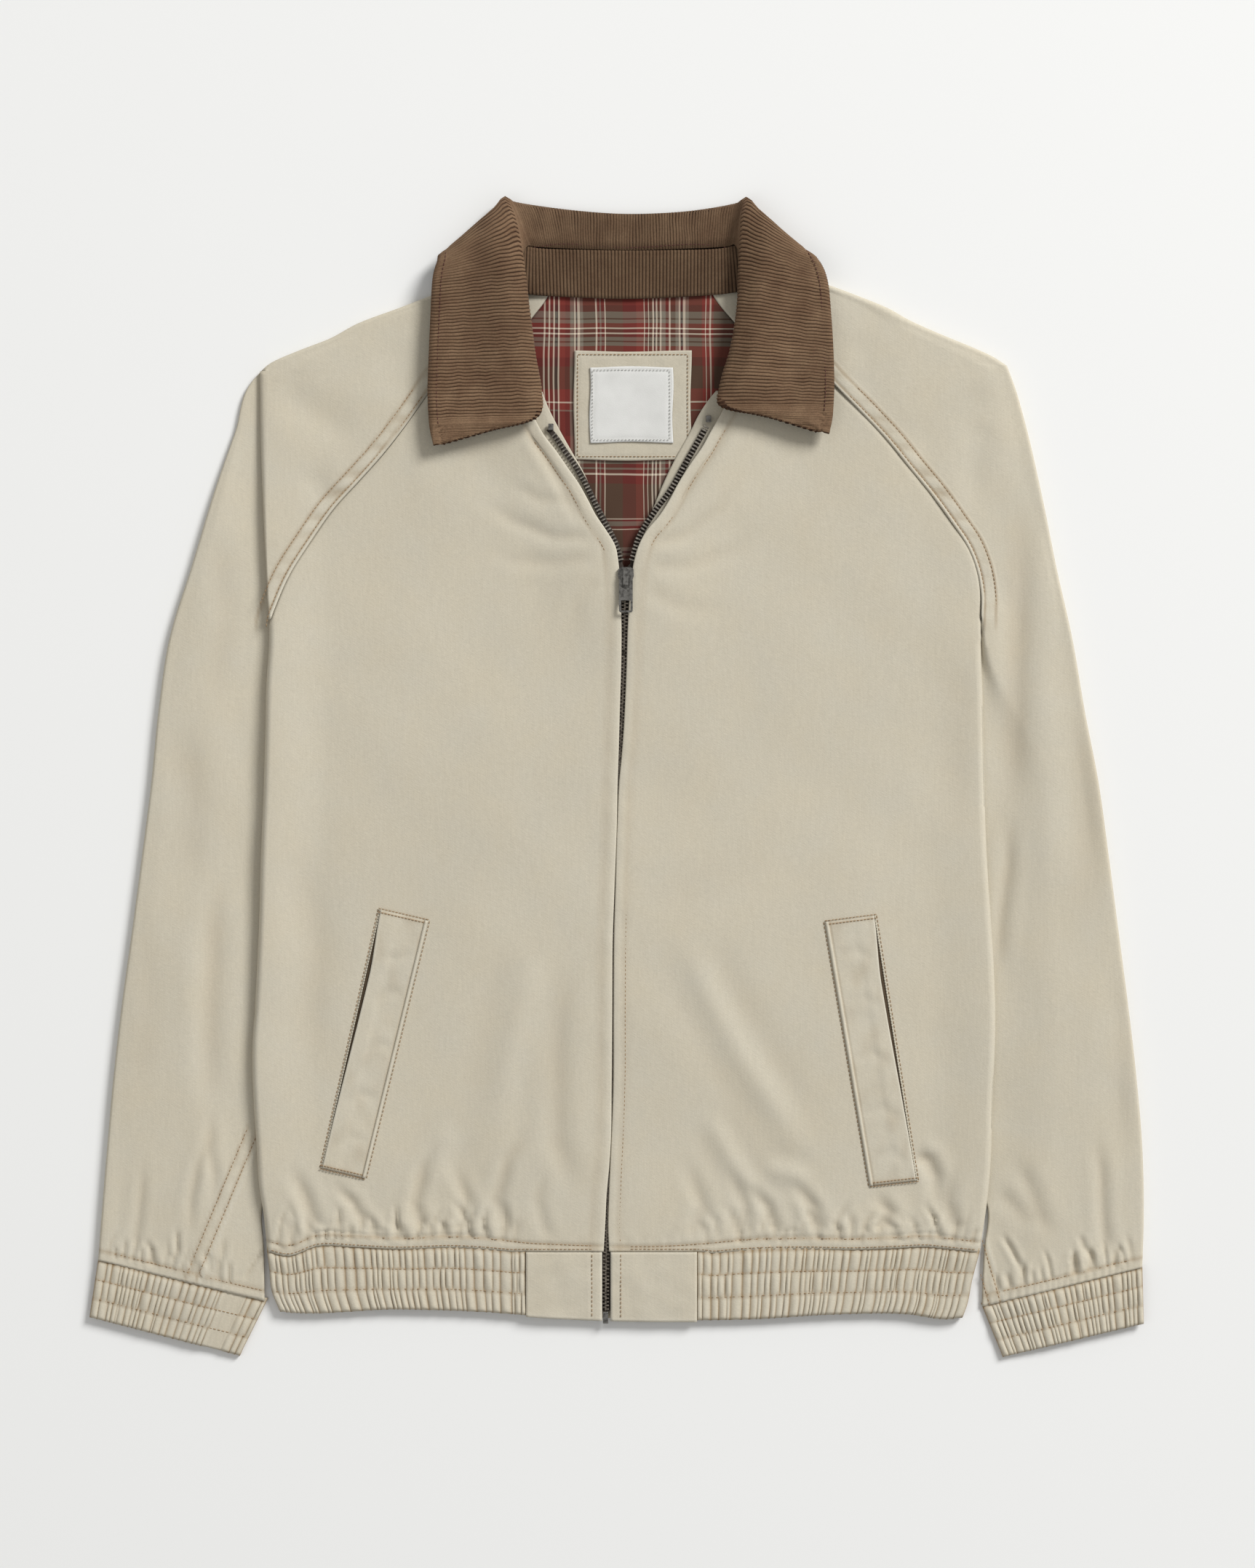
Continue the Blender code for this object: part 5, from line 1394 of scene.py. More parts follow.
COLLAR_BENDS = (0.0, 0.2, 0.36, 0.68, 1.0)
COLLAR_STITCH = 6.2
CROWN_RUN = 11.0
WALE = 2.35
WALE_ROWS = 5
WALE_HIGH = 1.0


def collar_base(s, t):
    """Points of the collar's middle: s along it in table rows, t from its inner seam to its outer edge."""
    over, cut, roll_x, roll_y, edge_x, edge_y, seam_x, seam_y = COLLAR(s).T
    over = np.clip(over, 0, 1)
    cut = np.clip(cut, 0, 1)
    run = np.hypot(edge_x - roll_x, edge_y - roll_y)
    level = {key: mix(COLLAR_UNDER[key], COLLAR_OVER[key], over) for key in COLLAR_OVER}
    flat = mix(level["crown"] - 1.6, level["edge"], ease(1 - run / 70))
    seam_z = mix(level["seam"], flat, ease(cut * 1.3 - 0.2))
    roll_z = mix(level["roll"], flat, ease(cut * 1.3 - 0.2) * 0.9)
    crown_z = mix(level["crown"], flat, ease(cut))
    crown_x, crown_y = ((edge - roll) / run * np.minimum(CROWN_RUN, run * 0.3) + roll
                        for edge, roll in ((edge_x, roll_x), (edge_y, roll_y)))
    far_z = mix(mix(level["crown"], level["edge"], 0.6), flat, cut * 0.5)
    grid = curve(COLLAR_BENDS, np.array([
        (seam_x, seam_y, seam_z),
        (roll_x, roll_y, roll_z),
        (crown_x, crown_y, crown_z),
        (mix(roll_x, edge_x, 0.6), mix(roll_y, edge_y, 0.6), far_z),
        (edge_x, edge_y, level["edge"]),
    ]))(t)
    return np.transpose(grid, (2, 0, 1))


def unit(ways):
    return ways / np.maximum(np.linalg.norm(ways, axis=-1, keepdims=True), 1e-9)


def wale_profile(phase):
    """One round rib of pile to a wale, with a narrow gap between ribs."""
    return 1 - np.abs(2 * (phase - np.floor(phase)) - 1) ** 1.6


def wales_along(s, base):
    """Places along a strip of corduroy, so many to each wale, and the wale's phase at each."""
    step = np.linalg.norm(np.diff(base, axis=0), axis=-1).mean(axis=1)
    length = np.concatenate([[0], np.cumsum(step)])
    wales = int(length[-1] / WALE)
    phase = np.linspace(0, wales, wales * WALE_ROWS + 1)
    return np.interp(phase * length[-1] / wales, length, s), phase


def collar_rows():
    s = np.linspace(0, len(COLLAR_ROWS) - 1, 2400)
    return wales_along(s, collar_base(s, np.array([0.42, 0.62])))


def collar_reach(base):
    """How far the collar's edge lies from its inner side, along the cloth."""
    return np.linalg.norm(base[:, -1] - base[:, COLLAR_ACROSS // 4], axis=-1) * 1.28


def make_collar():
    """The fall and its two leaves: ribs of pile, soft dents, and the trough of the stitched rows."""
    s, phase = collar_rows()
    t = share(COLLAR_ACROSS)
    base = collar_base(s, t[0])
    x, y = base[..., 0], base[..., 1]
    along = np.gradient(base, axis=0)
    normal = unit(np.cross(along, np.gradient(base, axis=1)))
    rows = np.random.default_rng(3).uniform(0.75, 1.15, int(phase[-1]) + 2)[np.floor(phase).astype(int)][:, None]
    wale = wale_profile(phase)[:, None] * mix(0.94, 1.0, (rows - 0.75) / 0.4) + 0.025 * swell(x, y, 14.0, 93)
    to_edge = (1 - t) * collar_reach(base)[:, None]
    dents = 0.35 * swell(x, y, 60.0, 91) + groove(to_edge - COLLAR_STITCH, 1.0, 0.55)
    points = base + normal * (WALE_HIGH * rows * (wale - 0.6) + dents)[..., None]
    points = points + unit(along) * (0.40 * swell(x, y, 15.0, 97))[..., None]
    # The kept tone is darker on the fall behind the leaves, for the pile's lie and as painted shade, and darker on
    # the right leaf as painted shade against the lamp.
    pile_tone = mix(0.70, 1.0, np.clip(COLLAR(s)[:, :1], 0, 1)) * mix(1.0, 0.9, np.clip((x - 60) / 40, 0, 1))
    cloth("collar", points, CORD, corduroy, "brown_corduroy", flip=True, layers=[("wale", wale), ("pile_tone", pile_tone)])


# neck seam x, y, height; top seam x, y, height
STAND_ROWS = [
    (-74, 335, 11, -72, 366.5, 11),
    (-62, 333.6, 6.4, -60.5, 366, 7.4),
    (-46, 332.4, 4.2, -47, 364.6, 5.8),
    (8, 330.4, 4.1, 8, 363.5, 5.8),
    (66, 333, 4.2, 66, 364.4, 5.8),
    (85, 335.2, 6.4, 82, 366.5, 7.4),
    (97, 337, 11, 94, 367, 11),
]
STAND = curve(np.arange(len(STAND_ROWS)), np.array(STAND_ROWS))
STAND_ACROSS = 14


def stand_base(s, t):
    rows = STAND(s)[:, None]
    return rows[..., :3] + (rows[..., 3:] - rows[..., :3]) * t[None, :, None]


def make_stand():
    s = np.linspace(0, len(STAND_ROWS) - 1, 1600)
    s, phase = wales_along(s, stand_base(s, np.array([0.5])))
    t = share(STAND_ACROSS)
    base = stand_base(s, t[0])
    rows = np.random.default_rng(4).uniform(0.7, 1.2, int(phase[-1]) + 2)[np.floor(phase).astype(int)][:, None]
    wale = wale_profile(phase)[:, None] * np.ones_like(t)
    base[..., 2] += WALE_HIGH * rows * (wale - 0.6) + groove((1 - t) * 31 - 2.0, 1.2, 0.7)
    base[..., 2] += 0.3 * swell(base[..., 0], base[..., 1], 40.0, 95)
    # The stand's whole pile is darkened, for the pile's lie and as painted shade under the leaves.
    layers = [("wale", wale), ("pile_tone", np.full_like(wale, 0.64))]
    cloth("collar_stand", base, STAND_WALL, corduroy, "brown_corduroy", layers=layers)


# ---------------------------------------------------------------- inside of the neck

LINING_LEFT = track([(338, -44), (333, -46), (316.5, -58), (285, -80), (250, -92), (200, -92), (120, -70)])
LINING_RIGHT = track([(338, 65), (333, 67), (310.7, 84.5), (285, 101), (250, 112), (200, 110), (120, 84)])
FACING_LEFT = track([
    (120, 2), (146, 2.5), (155, 1), (168, -3), (180, -8), (195, -15), (211, -22), (225, -30), (243, -40), (255, -46),
    (268, -51),
])
FACING_RIGHT = track([
    (120, 12), (150, 12), (162, 14.5), (172, 19), (181, 23.5), (190, 27.5), (200, 31.5), (210, 36), (220, 41),
    (230, 46.5), (240, 52), (250, 57), (262, 65), (268, 70),
])
PATCH_BOX = ((-28.5, 219.5), (52.0, 294.5))
LABEL_BOX = ((-17.6, 231.5), (39.5, 283.5))
PATCH_LEVEL = LINING_LEVEL + 0.5 + 0.3 + PATCH / 2
NECK_SIDES = ((LEFT, LINING_LEFT, FACING_LEFT), (RIGHT, LINING_RIGHT, FACING_RIGHT))


def lining_points(x, y, up=0.0):
    """Points of the lining, a little uneven as it lies."""
    x, y = np.broadcast_arrays(x, y)
    return as_points(x, y, LINING_LEVEL + 0.18 * swell(x, y, 60.0, 101) + 0.10 * swell(x, y, 22.0, 102) + up)


def card_points(corners, level, sag, seed, cols, rows):
    """A small sewn-on card of cloth, its edges not quite straight."""
    (x0, y0), (x1, y1) = corners
    u, v = share(cols), share(rows).T
    x = mix(x0, x1, u) + 0.45 * np.sin(v * 7.0 + seed)
    y = mix(y0, y1, v) + 0.45 * np.sin(u * 6.0 + seed * 2)
    edge = np.minimum(np.minimum(u, 1 - u) * (x1 - x0), np.minimum(v, 1 - v) * (y1 - y0))
    z = level + sag * ease(edge / 6.0) + groove(edge - 2.6, 0.8, 0.25) + 0.12 * swell(x, y, 18.0, int(seed) + 5)
    return as_points(x, y, z)


def make_neck():
    """The lining, its plain corners and the facings that show inside the open neck, and the label on its patch."""
    y = spaced((120, 336, 3.0))[:, None]
    x = mix(LINING_LEFT(y), LINING_RIGHT(y), share(60))
    cloth("lining_back", lining_points(x, y), LINING, plaid, "plaid_cotton")
    for piece, lining, facing in NECK_SIDES:
        hand = piece["side"]
        y = spaced((290, 336, 2.0))[:, None]
        x = lining(y) + hand * (SEAM + 26.0 * share(13))
        cloth("sleeve_lining_" + piece["name"], lining_points(x, y, 0.2), LINING, khaki_plain, flip=hand < 0)
        y, t = spaced((158, 267, 1.6))[:, None], share(18)
        z = FACING_LEVEL - 0.9 * (1 - ease(t * 5)) + 0.25 * swell(y, t * 10, 28.0, 111)
        points = as_points(facing(y) + hand * 24.0 * t, y, z)
        cloth("facing_" + piece["name"], points, LINING, khaki_plain, flip=hand < 0)
    cloth("label_patch", card_points(PATCH_BOX, PATCH_LEVEL, 0.15, 1.0, 60, 56), PATCH, khaki_plain)
    cloth("label", card_points(LABEL_BOX, PATCH_LEVEL + 1.3, 0.1, 2.4, 50, 46), LABEL, satin, "white_label")


# ---------------------------------------------------------------- pockets

POCKETS = {
    # top inner, top outer, bottom inner, bottom outer, as seen from the zip
    "left": ((-131, -97), (-161.3, -90), (-174, -274), (-201.5, -267.5)),
    "right": ((146.3, -98), (177.6, -94), (177, -279.5), (206.5, -276)),
}
WELT_WIDE = 31
WELT_TALL = 183
WELT_WALL = 0.8
WELT_LIFT = 0.6
SLIT_WALL = 0.3
PIPING = 2.0


def pocket_slit(down):
    """How wide the pocket's mouth stands open down its outer edge, as a share of the welt's width."""
    return 0.075 * ease(down / 0.25) * ease((0.97 - down) / 0.75)


def welt_height(piece, t, down):
    """The welt lies on the front, stitched down all round but for its mouth on the outer side."""
    x, y = spot(POCKETS[piece["name"]], t, down)
    far = t * WELT_WIDE
    inner = np.minimum(far, np.minimum(down, 1 - down) * WELT_TALL)
    soft = 0.12 * swell(x, y, 30.0, piece["welt_seed"])
    bends = 0.55 * creases(x, y, WELT_CREASES[piece["name"]]) * ease(np.minimum(inner, WELT_WIDE - far) / 5)
    base = front_top(piece, x, y) + (TWILL + WELT_WALL) / 2 + 0.05
    lift = WELT_LIFT * ease((t - 0.5) / 0.2) * (0.35 + 0.65 * np.sin(math.pi * np.clip(down, 0, 1)))
    piping = 0.75 * np.sqrt(np.clip(1 - ((far + PIPING / 2) / (PIPING / 2)) ** 2, 0, 1)) * (far < 0)
    return base + lift + soft * ease(inner / 7) + bends + piping + groove(far - 0.2, 0.5, 0.35)


WELT_CREASES = {
    "left": [
        ([(-136, -118), (-150, -124), (-162, -122)], 3.2, -0.7, 0.4),
        ([(-142, -150), (-156, -146), (-170, -154)], 3.4, -0.6, 0.5),
        ([(-150, -186), (-162, -182), (-178, -190)], 3, -0.6, 0.4),
        ([(-160, -222), (-176, -216), (-188, -226)], 3.4, -0.7, 0.5),
        ([(-168, -250), (-182, -246), (-194, -256)], 3, -0.6, 0.5),
    ],
    "right": [
        ([(152, -122), (166, -118), (180, -126)], 3.2, -0.7, 0.4),
        ([(156, -156), (170, -150), (186, -158)], 3.4, -0.6, 0.5),
        ([(164, -196), (176, -188), (192, -198)], 3, -0.6, 0.4),
        ([(168, -232), (184, -226), (198, -236)], 3.4, -0.7, 0.5),
        ([(176, -262), (190, -256), (202, -266)], 3, -0.6, 0.5),
    ],
}


def make_pockets():
    """The two welts, each with a rolled inner edge, and a near-black strip in its slit as painted shadow."""
    for piece in SIDES:
        corners = POCKETS[piece["name"]]
        flip = piece is RIGHT
        down = share(110).T
        pipe = -PIPING / WELT_WIDE * np.array([1.0, 0.86, 0.5, 0.14])[None, :]
        t = joined(pipe + 0 * down, (1 - pocket_slit(down)) * share(28))
        t, down = np.broadcast_arrays(t, down)
        x, y = spot(corners, t, down)
        far = t * WELT_WIDE
        folded = (1 - pocket_slit(down) - t) * WELT_WIDE
        # Pale on the rolled piping and the folded edge as wear and painted highlight; painted shade in the groove
        # beside the piping and at the welt's stitched ends.
        wear_and_shading = 0.5 + 0.20 * bell(far + PIPING / 2, 0.8) - 0.22 * bell(far - 0.3, 0.9)
        wear_and_shading = wear_and_shading + 0.30 * bell(folded, 1.0) - 0.16 * bell(np.minimum(down, 1 - down) * WELT_TALL - 1.5, 1.4)
        wear_and_shading = np.clip(wear_and_shading + 0.05 * swell(x, y, 14.0, 127), 0, 1)
        points = as_points(x, y, welt_height(piece, t, down))
        cloth("welt_" + piece["name"], points, WELT_WALL, khaki, flip=flip, layers=[("wear_and_shading", wear_and_shading)])
        x, y = spot(corners, mix(0.66, 1.0, share(8)), mix(0.02, 0.98, share(90).T))
        points = as_points(x, y, front_top(piece, x, y) + TWILL / 2 - 0.05)
        cloth("pocket_facing_" + piece["name"], points, SLIT_WALL, pocket_painted_shadow, flip=flip)


# ---------------------------------------------------------------- stitching

THREAD_WIDE = 0.72
THREAD_UP = 0.12
STITCH_PITCH = 2.9
STITCH_LONG = 2.35
STAND_SEAM = track([(-62, 361), (-46, 364), (8, 362.2), (66, 363.8), (84, 361)])


def stitch_shape():
    """One stitch along +X: the points of a bar that dips at both ends, its triangles and its quads."""
    ring = [(math.cos(a * math.pi), math.sin(a * math.pi)) for a in (0.25, 0.75, 1.25, 1.75)]
    shape = [(-0.5, 0.0, -0.5)]
    for at, size in ((-0.34, 0.8), (0.0, 1.0), (0.34, 0.8)):
        shape += [(at, side * size, up * size * 0.8) for side, up in ring]
    shape.append((0.5, 0.0, -0.5))
    tris, quads = [], []
    for k in range(4):
        after = (k + 1) % 4
        tris += [(0, 1 + after, 1 + k), (9 + k, 9 + after, 13)]
        quads += [(a + k, a + after, a + 4 + after, a + 4 + k) for a in (1, 5)]
    return np.array(shape), np.array(tris), np.array(quads)


def stitches(name, runs, look, slot="khaki_twill", pitch=STITCH_PITCH, long=STITCH_LONG, wide=THREAD_WIDE):
    """Rows of stitches as one mesh: each run is an array of points on the cloth that the thread follows."""
    shape, tris, quads = stitch_shape()
    centres, ways = [], []
    for run in runs:
        length = run_length(run)
        count = int(length[-1] / pitch)
        if count < 1:
            continue
        at = (np.arange(count) + 0.5) * length[-1] / count
        start, stop = (np.stack([np.interp(at + shift, length, run[:, k]) for k in range(3)], axis=1)
                       for shift in (-long / 2, long / 2))
        centres.append((start + stop) / 2)
        ways.append(stop - start)
    centres = np.concatenate(centres)[:, None]
    ways = unit(np.concatenate(ways))
    side = unit(np.cross(np.array([0.0, 0.0, 1.0]), ways))
    rise = np.cross(ways, side)
    half = wide / 2
    verts = (centres + shape[None, :, 0:1] * long * ways[:, None]
             + shape[None, :, 1:2] * half * side[:, None] + shape[None, :, 2:3] * half * rise[:, None])
    first = np.arange(len(centres))[:, None, None] * len(shape)
    faces = (quads[None] + first).reshape(-1, 4).tolist() + (tris[None] + first).reshape(-1, 3).tolist()
    mesh = bpy.data.meshes.new(name)
    mesh.from_pydata((verts.reshape(-1, 3) * MM).tolist(), [], faces)
    mesh.update()
    mesh.shade_smooth()
    return put(name, mesh, look, slot)


def line(*points, step=1.0):
    """A polyline cut into short even steps, as arrays of x and y."""
    points = np.array(points, float)
    length = run_length(points)
    at = np.linspace(0, length[-1], max(2, int(length[-1] / step)))
    return np.interp(at, length, points[:, 0]), np.interp(at, length, points[:, 1])


def beside(piece, key, y, offset):
    """Points at a set distance to the outer side of one of a piece's curves."""
    bound = piece[key]
    slope = (bound(y + 1) - bound(y - 1)) / 2
    size = np.sqrt(1 + slope ** 2)
    return bound(y) + piece["side"] * offset / size, y - piece["side"] * offset * slope / size


def thread(x, y, z, up=THREAD_UP):
    """A thread's run on a piece of twill, from the height of the middle of its wall."""
    return as_points(x, y, z + TWILL / 2 + up)


def sleeve_runs(piece):
    """The stitched rows of a sleeve: along the raglan seam, above the cuff and along the underarm."""
    hand = piece["side"]
    for row, start in zip(RAGLAN_ROWS, (104, 116)):
        x, y = beside(piece, "raglan", spaced((start, 262, 1.0)), row)
        yield thread(x, y, front_height(piece, x, y) + cap_relief(piece, x, y))
    (start, _), (stop, _) = CUFFS[piece["name"]][:2]
    x = spaced((start - hand * 1.5, stop + hand * 2, 1.0))
    y = cuff_row(piece, x)
    rows = [(x, y, hand * (piece["outer"](y) - x) > 2.5)]
    (ax, ay), (bx, by) = UNDERARM[piece["name"]]
    length = math.hypot(bx - ax, by - ay)
    for row in (0.0, UNDERARM_WIDE):
        dx, dy = row * (by - ay) / length, -row * (bx - ax) / length
        x, y = line((ax + dx, ay + dy), (bx + dx, by + dy))
        rows.append((x, y, hand * (x - piece["edge"](y)) > 0.8))
    for x, y, on in rows:
        x, y = x[on], y[on]
        yield thread(x, y, sleeve_height(piece, x, y) + sleeve_relief(piece, x, y))


def band_runs(piece):
    """The rows that hold the gathers of the cuff and of the hem band."""
    for row in range(1, CHANNELS):
        for face, t in ((cuff_face, np.linspace(0.01, 0.985, 400)), (hem_face, np.linspace(0.004, 0.985, 600))):
            yield thread(*face(piece, t, np.full_like(t, row / CHANNELS))[:3])


def front_runs(piece):
    """The rows of a front: beside the zip, above the hem band, and beside the pocket's welt."""
    side, hand = piece["name"], piece["side"]
    hem_x = spaced((TAB_X[side] - hand * 46, piece["edge"](HEM_Y) - hand * 3, 1.0))
    zip_row = beside(piece, "inner", spaced((-322, piece["row_top"], 1.0)), ZIP_ROW)
    for x, y in (zip_row, (hem_x, HEM_STITCH(hem_x))):
        yield thread(x, y, front_top(piece, x, y))
    y = HEM_Y + 1.6
    yield thread(hem_x, y + hem_shift(hem_x), front_top(piece, hem_x, y))
    for t in (-3.3 / WELT_WIDE, 1 + 1.9 / WELT_WIDE):
        yield welt_run(piece, t, 0.1)
    x = piece["inner"](HEM_Y) + hand * ZIP_ROW
    y = spaced((HEM_Y - 1.5, HEM_BOTTOM(x) + 1, 1.0))
    yield as_points(x, y, hem_level(piece, x + 0 * y, y) + 0.7 + THREAD_UP)


def welt_run(piece, t, up):
    """A run down the length of a pocket's welt, on the front beside it."""
    x, y = spot(POCKETS[piece["name"]], t, np.linspace(-0.002, 1.002, 400))
    return thread(x, y, front_top(piece, x, y), up)


def bar_runs(piece):
    """The bars of thread at both ends of a pocket's welt."""
    t = np.linspace(-2.6 / WELT_WIDE, 1 + 2.0 / WELT_WIDE, 80)
    for at in (-0.004, 0.010, 0.990, 1.004):
        x, y = spot(POCKETS[piece["name"]], t, at)
        yield as_points(x, y, welt_height(piece, np.clip(t, 0, 1), at) + WELT_WALL / 2 + 0.1)


def collar_runs():
    """The row along each leaf's edge, and the one along the seam of the stand."""
    s, _ = collar_rows()
    base = collar_base(s, share(COLLAR_ACROSS)[0])
    at = 1 - COLLAR_STITCH / np.maximum(collar_reach(base), 8.0)
    places = np.arange(COLLAR_ACROSS + 1)
    near = np.array([[np.interp(t * COLLAR_ACROSS, places, row[:, k]) for k in range(3)] for t, row in zip(at, base)])
    near[:, 2] += CORD / 2 + 0.15
    for start, stop in ((1.6, 7.6), (14.4, 20.4)):
        yield near[(s > start) & (s < stop)]
    x = spaced((-60, 82, 1.0))
    yield as_points(x, STAND_SEAM(x) + 3.0, 6.6)


def card_runs(corners, inset, level):
    """Four rows just inside the edges of a small card of cloth."""
    (x0, y0), (x1, y1) = corners
    x0, y0, x1, y1 = x0 + inset, y0 + inset, x1 - inset, y1 - inset
    ring = ((x0, y0), (x1, y0), (x1, y1), (x0, y1), (x0, y0))
    for start, stop in zip(ring, ring[1:]):
        yield as_points(*line(start, stop), level)


def make_stitching():
    runs = [run for piece in SIDES for rows in (front_runs, sleeve_runs, band_runs) for run in rows(piece)]
    bars = [run for piece in SIDES for run in bar_runs(piece)]
    edges = [welt_run(piece, 1 + 0.5 / WELT_WIDE, 0.35) for piece in SIDES]
    stitches("stitching_tan", runs, tan_thread)
    stitches("stitching_bars", bars, tan_thread, pitch=2.3, long=2.2, wide=0.85)
    stitches("pocket_edges", edges, khaki_plain, pitch=1.9, long=2.2, wide=1.3)
    stitches("stitching_russet", collar_runs(), red_thread, slot="brown_corduroy")
    stitches("stitching_white", card_runs(LABEL_BOX, 2.0, 5.75), white_thread, "white_label", pitch=2.4, long=1.7)
    stitches("stitching_patch", card_runs(PATCH_BOX, 2.4, 4.25), tan_thread, pitch=2.7, long=2.1)


# ---------------------------------------------------------------- zip

TEETH_LEFT = track([
    (240.4, -45.6), (236.7, -42.4), (226.6, -35.4), (215.7, -27.7), (204.8, -21.4), (192.3, -15.2), (176.5, -7.2),
    (165, -1.2), (157, 2.3), (149, 4.2),
])
TEETH_RIGHT = track([(246, 64.4), (234, 57.8), (216, 47.6), (200, 38.7), (184, 27), (167.7, 16.7), (150, 10.8)])
TEETH = {"left": TEETH_LEFT, "right": TEETH_RIGHT}
TAPE_WIDE = 11.0
TOOTH_PITCH = 2.5
TOOTH_LONG = 4.1
TOOTH_WIDE = 1.5
TOOTH_THICK = 1.4
CHAIN_TOOTH = 0.83
CHAIN_SINK = 1.9
TAPE_SINK = 0.6
SPLIT_Y = 147


def zip_sink(y):
    """The closed zip runs under the fronts' edges, and comes up into the slider."""
    return ease((118 - y) / 16) * ease((y + 352) / 20)


def make_tapes():
    for piece in SIDES:
        hand = piece["side"]
        y = spaced((-366, 130, 4.0), (130, 240, 1.5))[:, None]
        centre = np.where(y > SPLIT_Y, TEETH[piece["name"]](y), ZIP(y))
        open_on = ease((y - 150) / 14)
        near = centre + hand * np.where(y > SPLIT_Y, -0.6, mix(0.3, 1.6, ease((y - 134) / 8)))
        x = near - hand * 1.6 * open_on + hand * mix(TAPE_WIDE, 4.6, open_on) * share(8)
        z = TAPE_LEVEL + neck_lift(y) - TAPE_SINK * zip_sink(y)
        cloth("zip_tape_" + piece["name"], as_points(x, y, z), TAPE, tape, "zip_tape", flip=hand < 0)


def tooth_shape():
    """One metal tooth: a legged block with a rounded head, along +X, from its tape end."""
    shape = bmesh.new()
    half = TOOTH_WIDE / 2
    edge = [(TOOTH_LONG * at, half * wide) for at, wide in ((0.0, 0.8), (0.55, 0.8), (0.7, 1.0), (0.92, 0.8))]
    outline = [(x, -y) for x, y in edge] + [(TOOTH_LONG, 0.0)] + edge[::-1]
    ring = [shape.verts.new((x, y, -TOOTH_THICK / 2)) for x, y in outline]
    lifted = bmesh.ops.extrude_face_region(shape, geom=[shape.faces.new(ring)])
    for item in lifted["geom"]:
        if isinstance(item, bmesh.types.BMVert):
            item.co = (mix(TOOTH_LONG * 0.5, item.co.x, 0.86), item.co.y * 0.8, item.co.z + TOOTH_THICK)
    bmesh.ops.recalc_face_normals(shape, faces=shape.faces)
    bmesh.ops.triangulate(shape, faces=shape.faces)
    shape.verts.index_update()
    verts = np.array([vert.co[:] for vert in shape.verts])
    faces = np.array([[vert.index for vert in face.verts] for face in shape.faces])
    shape.free()
    return verts, faces


def teeth_mesh(node, name, centres, ways, look, long=1.0):
    """Copies of the tooth in place of a node, each at a centre and pointing along its way in plan."""
    verts, faces = tooth_shape()
    verts = (verts - np.array([TOOTH_LONG / 2, 0, 0])) * np.array([long, 1.0, 1.0])
    ways = ways / np.linalg.norm(ways, axis=1, keepdims=True)
    side = np.stack([-ways[:, 1], ways[:, 0]], axis=1)
    spots = np.zeros((len(centres), len(verts), 3))
    spots[..., :2] = centres[:, None, :2] + verts[:, 0:1] * ways[:, None] + verts[:, 1:2] * side[:, None]
    spots[..., 2] = centres[:, None, 2] + verts[:, 2]
    every = (faces[None] + np.arange(len(centres))[:, None, None] * len(verts)).reshape(-1, 3)
    mesh = bare_mesh(name, spots.reshape(-1, 3), every)
    mesh.set_sharp_from_angle(angle=math.radians(40))
    put(name, mesh, look, "gunmetal", node)


def make_teeth():
    y = np.arange(-364.5, 131, TOOTH_PITCH / 2)
    hand = 1.0 - 2 * (np.arange(len(y)) % 2)
    level = CHAIN_LEVEL + neck_lift(y) - CHAIN_SINK * zip_sink(y)
    centres = as_points(ZIP(y) + hand * 0.8, y, level)
    teeth_mesh("zip_chain", "zip_chain_teeth", centres, np.stack([-hand, 0 * hand], axis=1), chain_metal, CHAIN_TOOTH)
    for piece, top in ((LEFT, 239.0), (RIGHT, 244.5)):
        teeth = TEETH[piece["name"]]
        y = spaced((SPLIT_Y + 2.5, top, 0.5))
        length = run_length(np.stack([teeth(y), y], axis=1))
        y = np.interp((np.arange(int(length[-1] / TOOTH_PITCH)) + 0.5) * TOOTH_PITCH, length, y)
        ways = np.stack([-np.ones_like(y), teeth(y + 0.5) - teeth(y - 0.5)], axis=1) * piece["side"]
        name = "zip_teeth_" + piece["name"]
        teeth_mesh(name, name + "_row", as_points(teeth(y), y, CHAIN_LEVEL + NECK_LIFT), ways, teeth_metal)


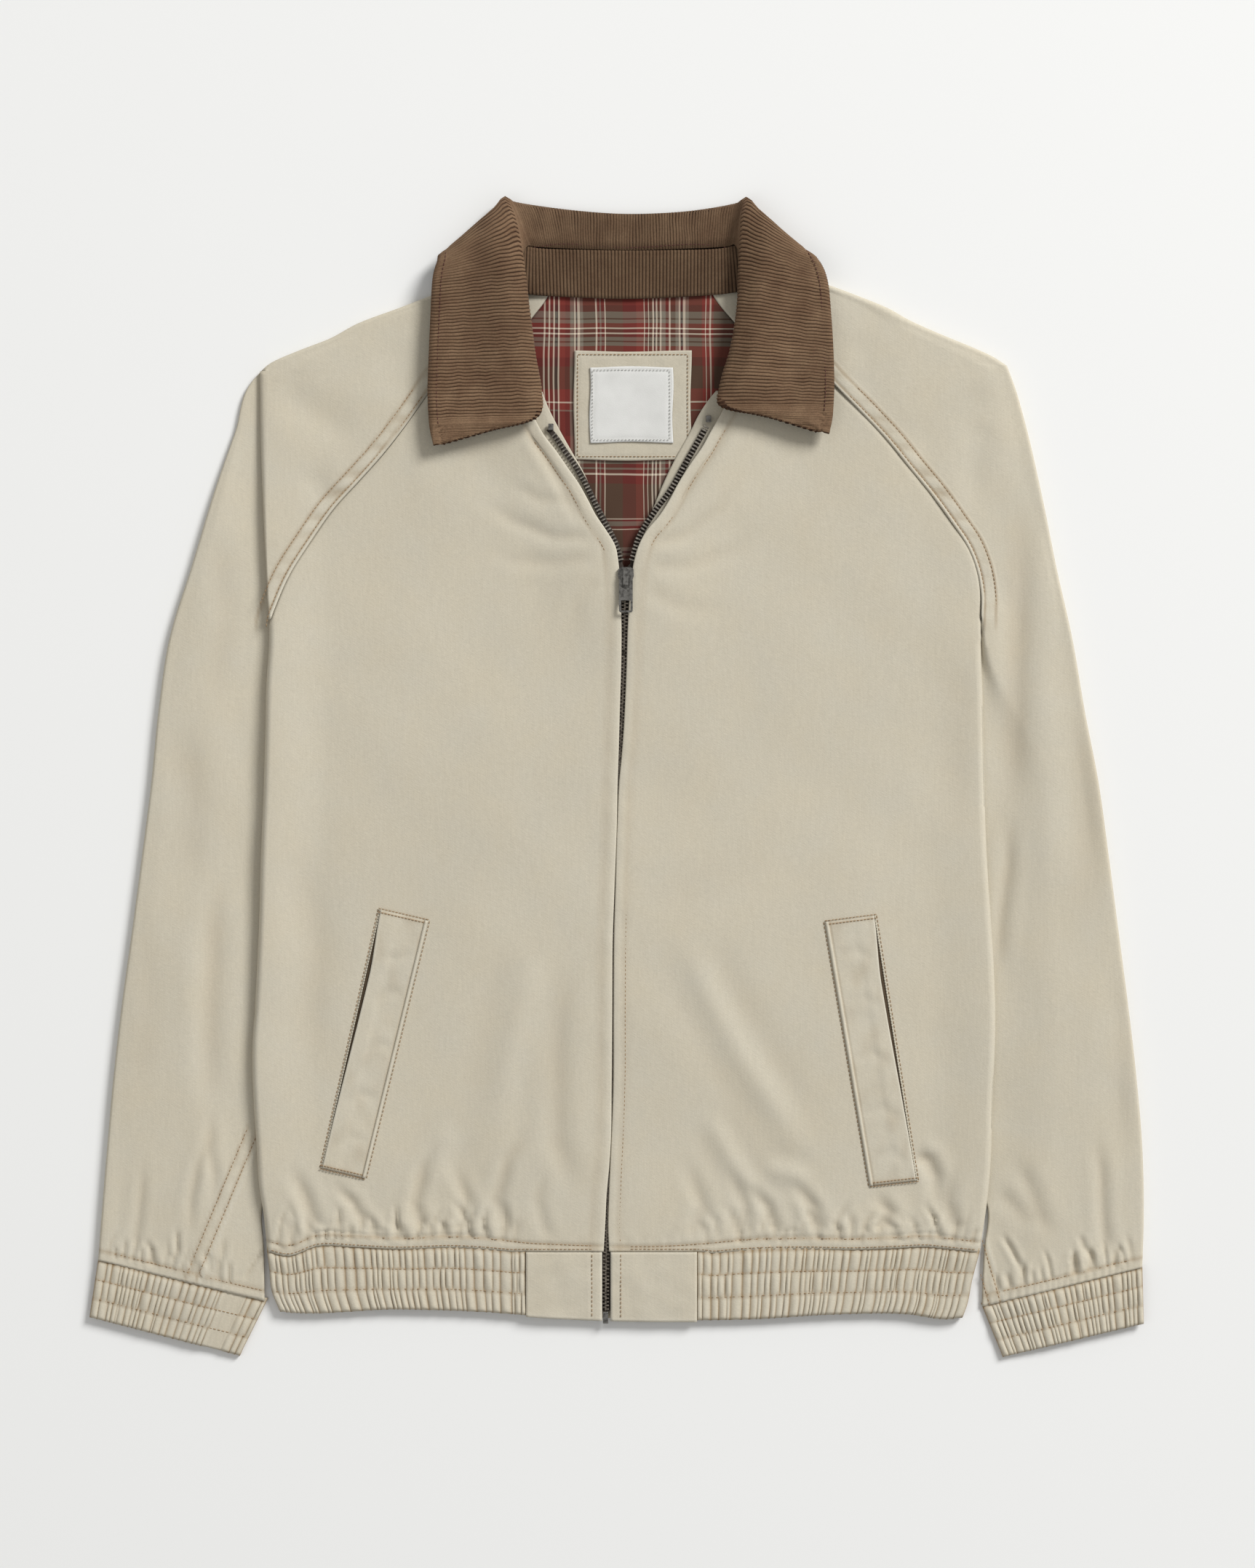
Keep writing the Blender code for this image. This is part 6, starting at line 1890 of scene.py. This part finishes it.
def dress_metal():
    """The slider, pull, box and stops keep their own shapes, in a finer metal."""
    for name in ("zip_slider", "pull_tab", "zip_box", "zip_stop_left", "zip_stop_right"):
        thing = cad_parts[name]
        for slot in thing.material_slots:
            slot.material = steel
        if not thing.material_slots:
            thing.data.materials.append(steel)


# ---------------------------------------------------------------- floor, light and camera

VIEW_TALL = 1078.0
SENSOR = 36.0
CAMERA_AT = (8.25, -3.5, 2507.0)
CAMERA_HIGH = 2500.0
LIGHTS = (("key", (5.4, 5.4, 5.2), 3.6, 830.0), ("fill", (-1.8, -0.9, 2.4), 2.2, 7.0))


def place_in_scene(name, data):
    thing = bpy.data.objects.new(name, data)
    bpy.context.scene.collection.objects.link(thing)
    return thing


def make_stage():
    """A white floor, a soft room and two lamps that look at the garment's middle."""
    mesh = bpy.data.meshes.new("floor")
    shape = bmesh.new()
    bmesh.ops.create_grid(shape, x_segments=1, y_segments=1, size=6.0)
    shape.to_mesh(mesh)
    shape.free()
    mesh.materials.append(Look("floor_paper").shade((0.885, 0.885, 0.87), 1.0, specular=0.0))
    place_in_scene("floor", mesh)
    world = bpy.data.worlds.new("soft_room")
    world.use_nodes = True
    background = world.node_tree.nodes["Background"].inputs
    background["Color"].default_value = (1.0, 1.0, 0.995, 1.0)
    background["Strength"].default_value = 0.39
    bpy.context.scene.world = world
    for name, place, size, power in LIGHTS:
        light = bpy.data.lights.new(name, "AREA")
        light.shape = "DISK"
        light.size = size
        light.energy = power
        lamp = place_in_scene(name, light)
        lamp.location = place
        lamp.rotation_euler = (-Vector(place)).to_track_quat("-Z", "Y").to_euler()


def make_camera():
    """A camera high above the garment, and colours as they are lit, without a film curve."""
    lens = bpy.data.cameras.new("camera")
    lens.sensor_fit = "VERTICAL"
    lens.sensor_height = SENSOR
    lens.lens = SENSOR * CAMERA_HIGH / VIEW_TALL
    lens.clip_end = 50.0
    camera = place_in_scene("camera", lens)
    camera.location = [at * MM for at in CAMERA_AT]
    bpy.context.scene.camera = camera
    bpy.context.scene.view_settings.view_transform = "Standard"


make_camera()
make_stage()
make_back()
make_fronts()
make_sleeves()
make_cuffs()
make_hem()
make_collar()
make_stand()
make_neck()
make_pockets()
make_stitching()
make_tapes()
make_teeth()
dress_metal()
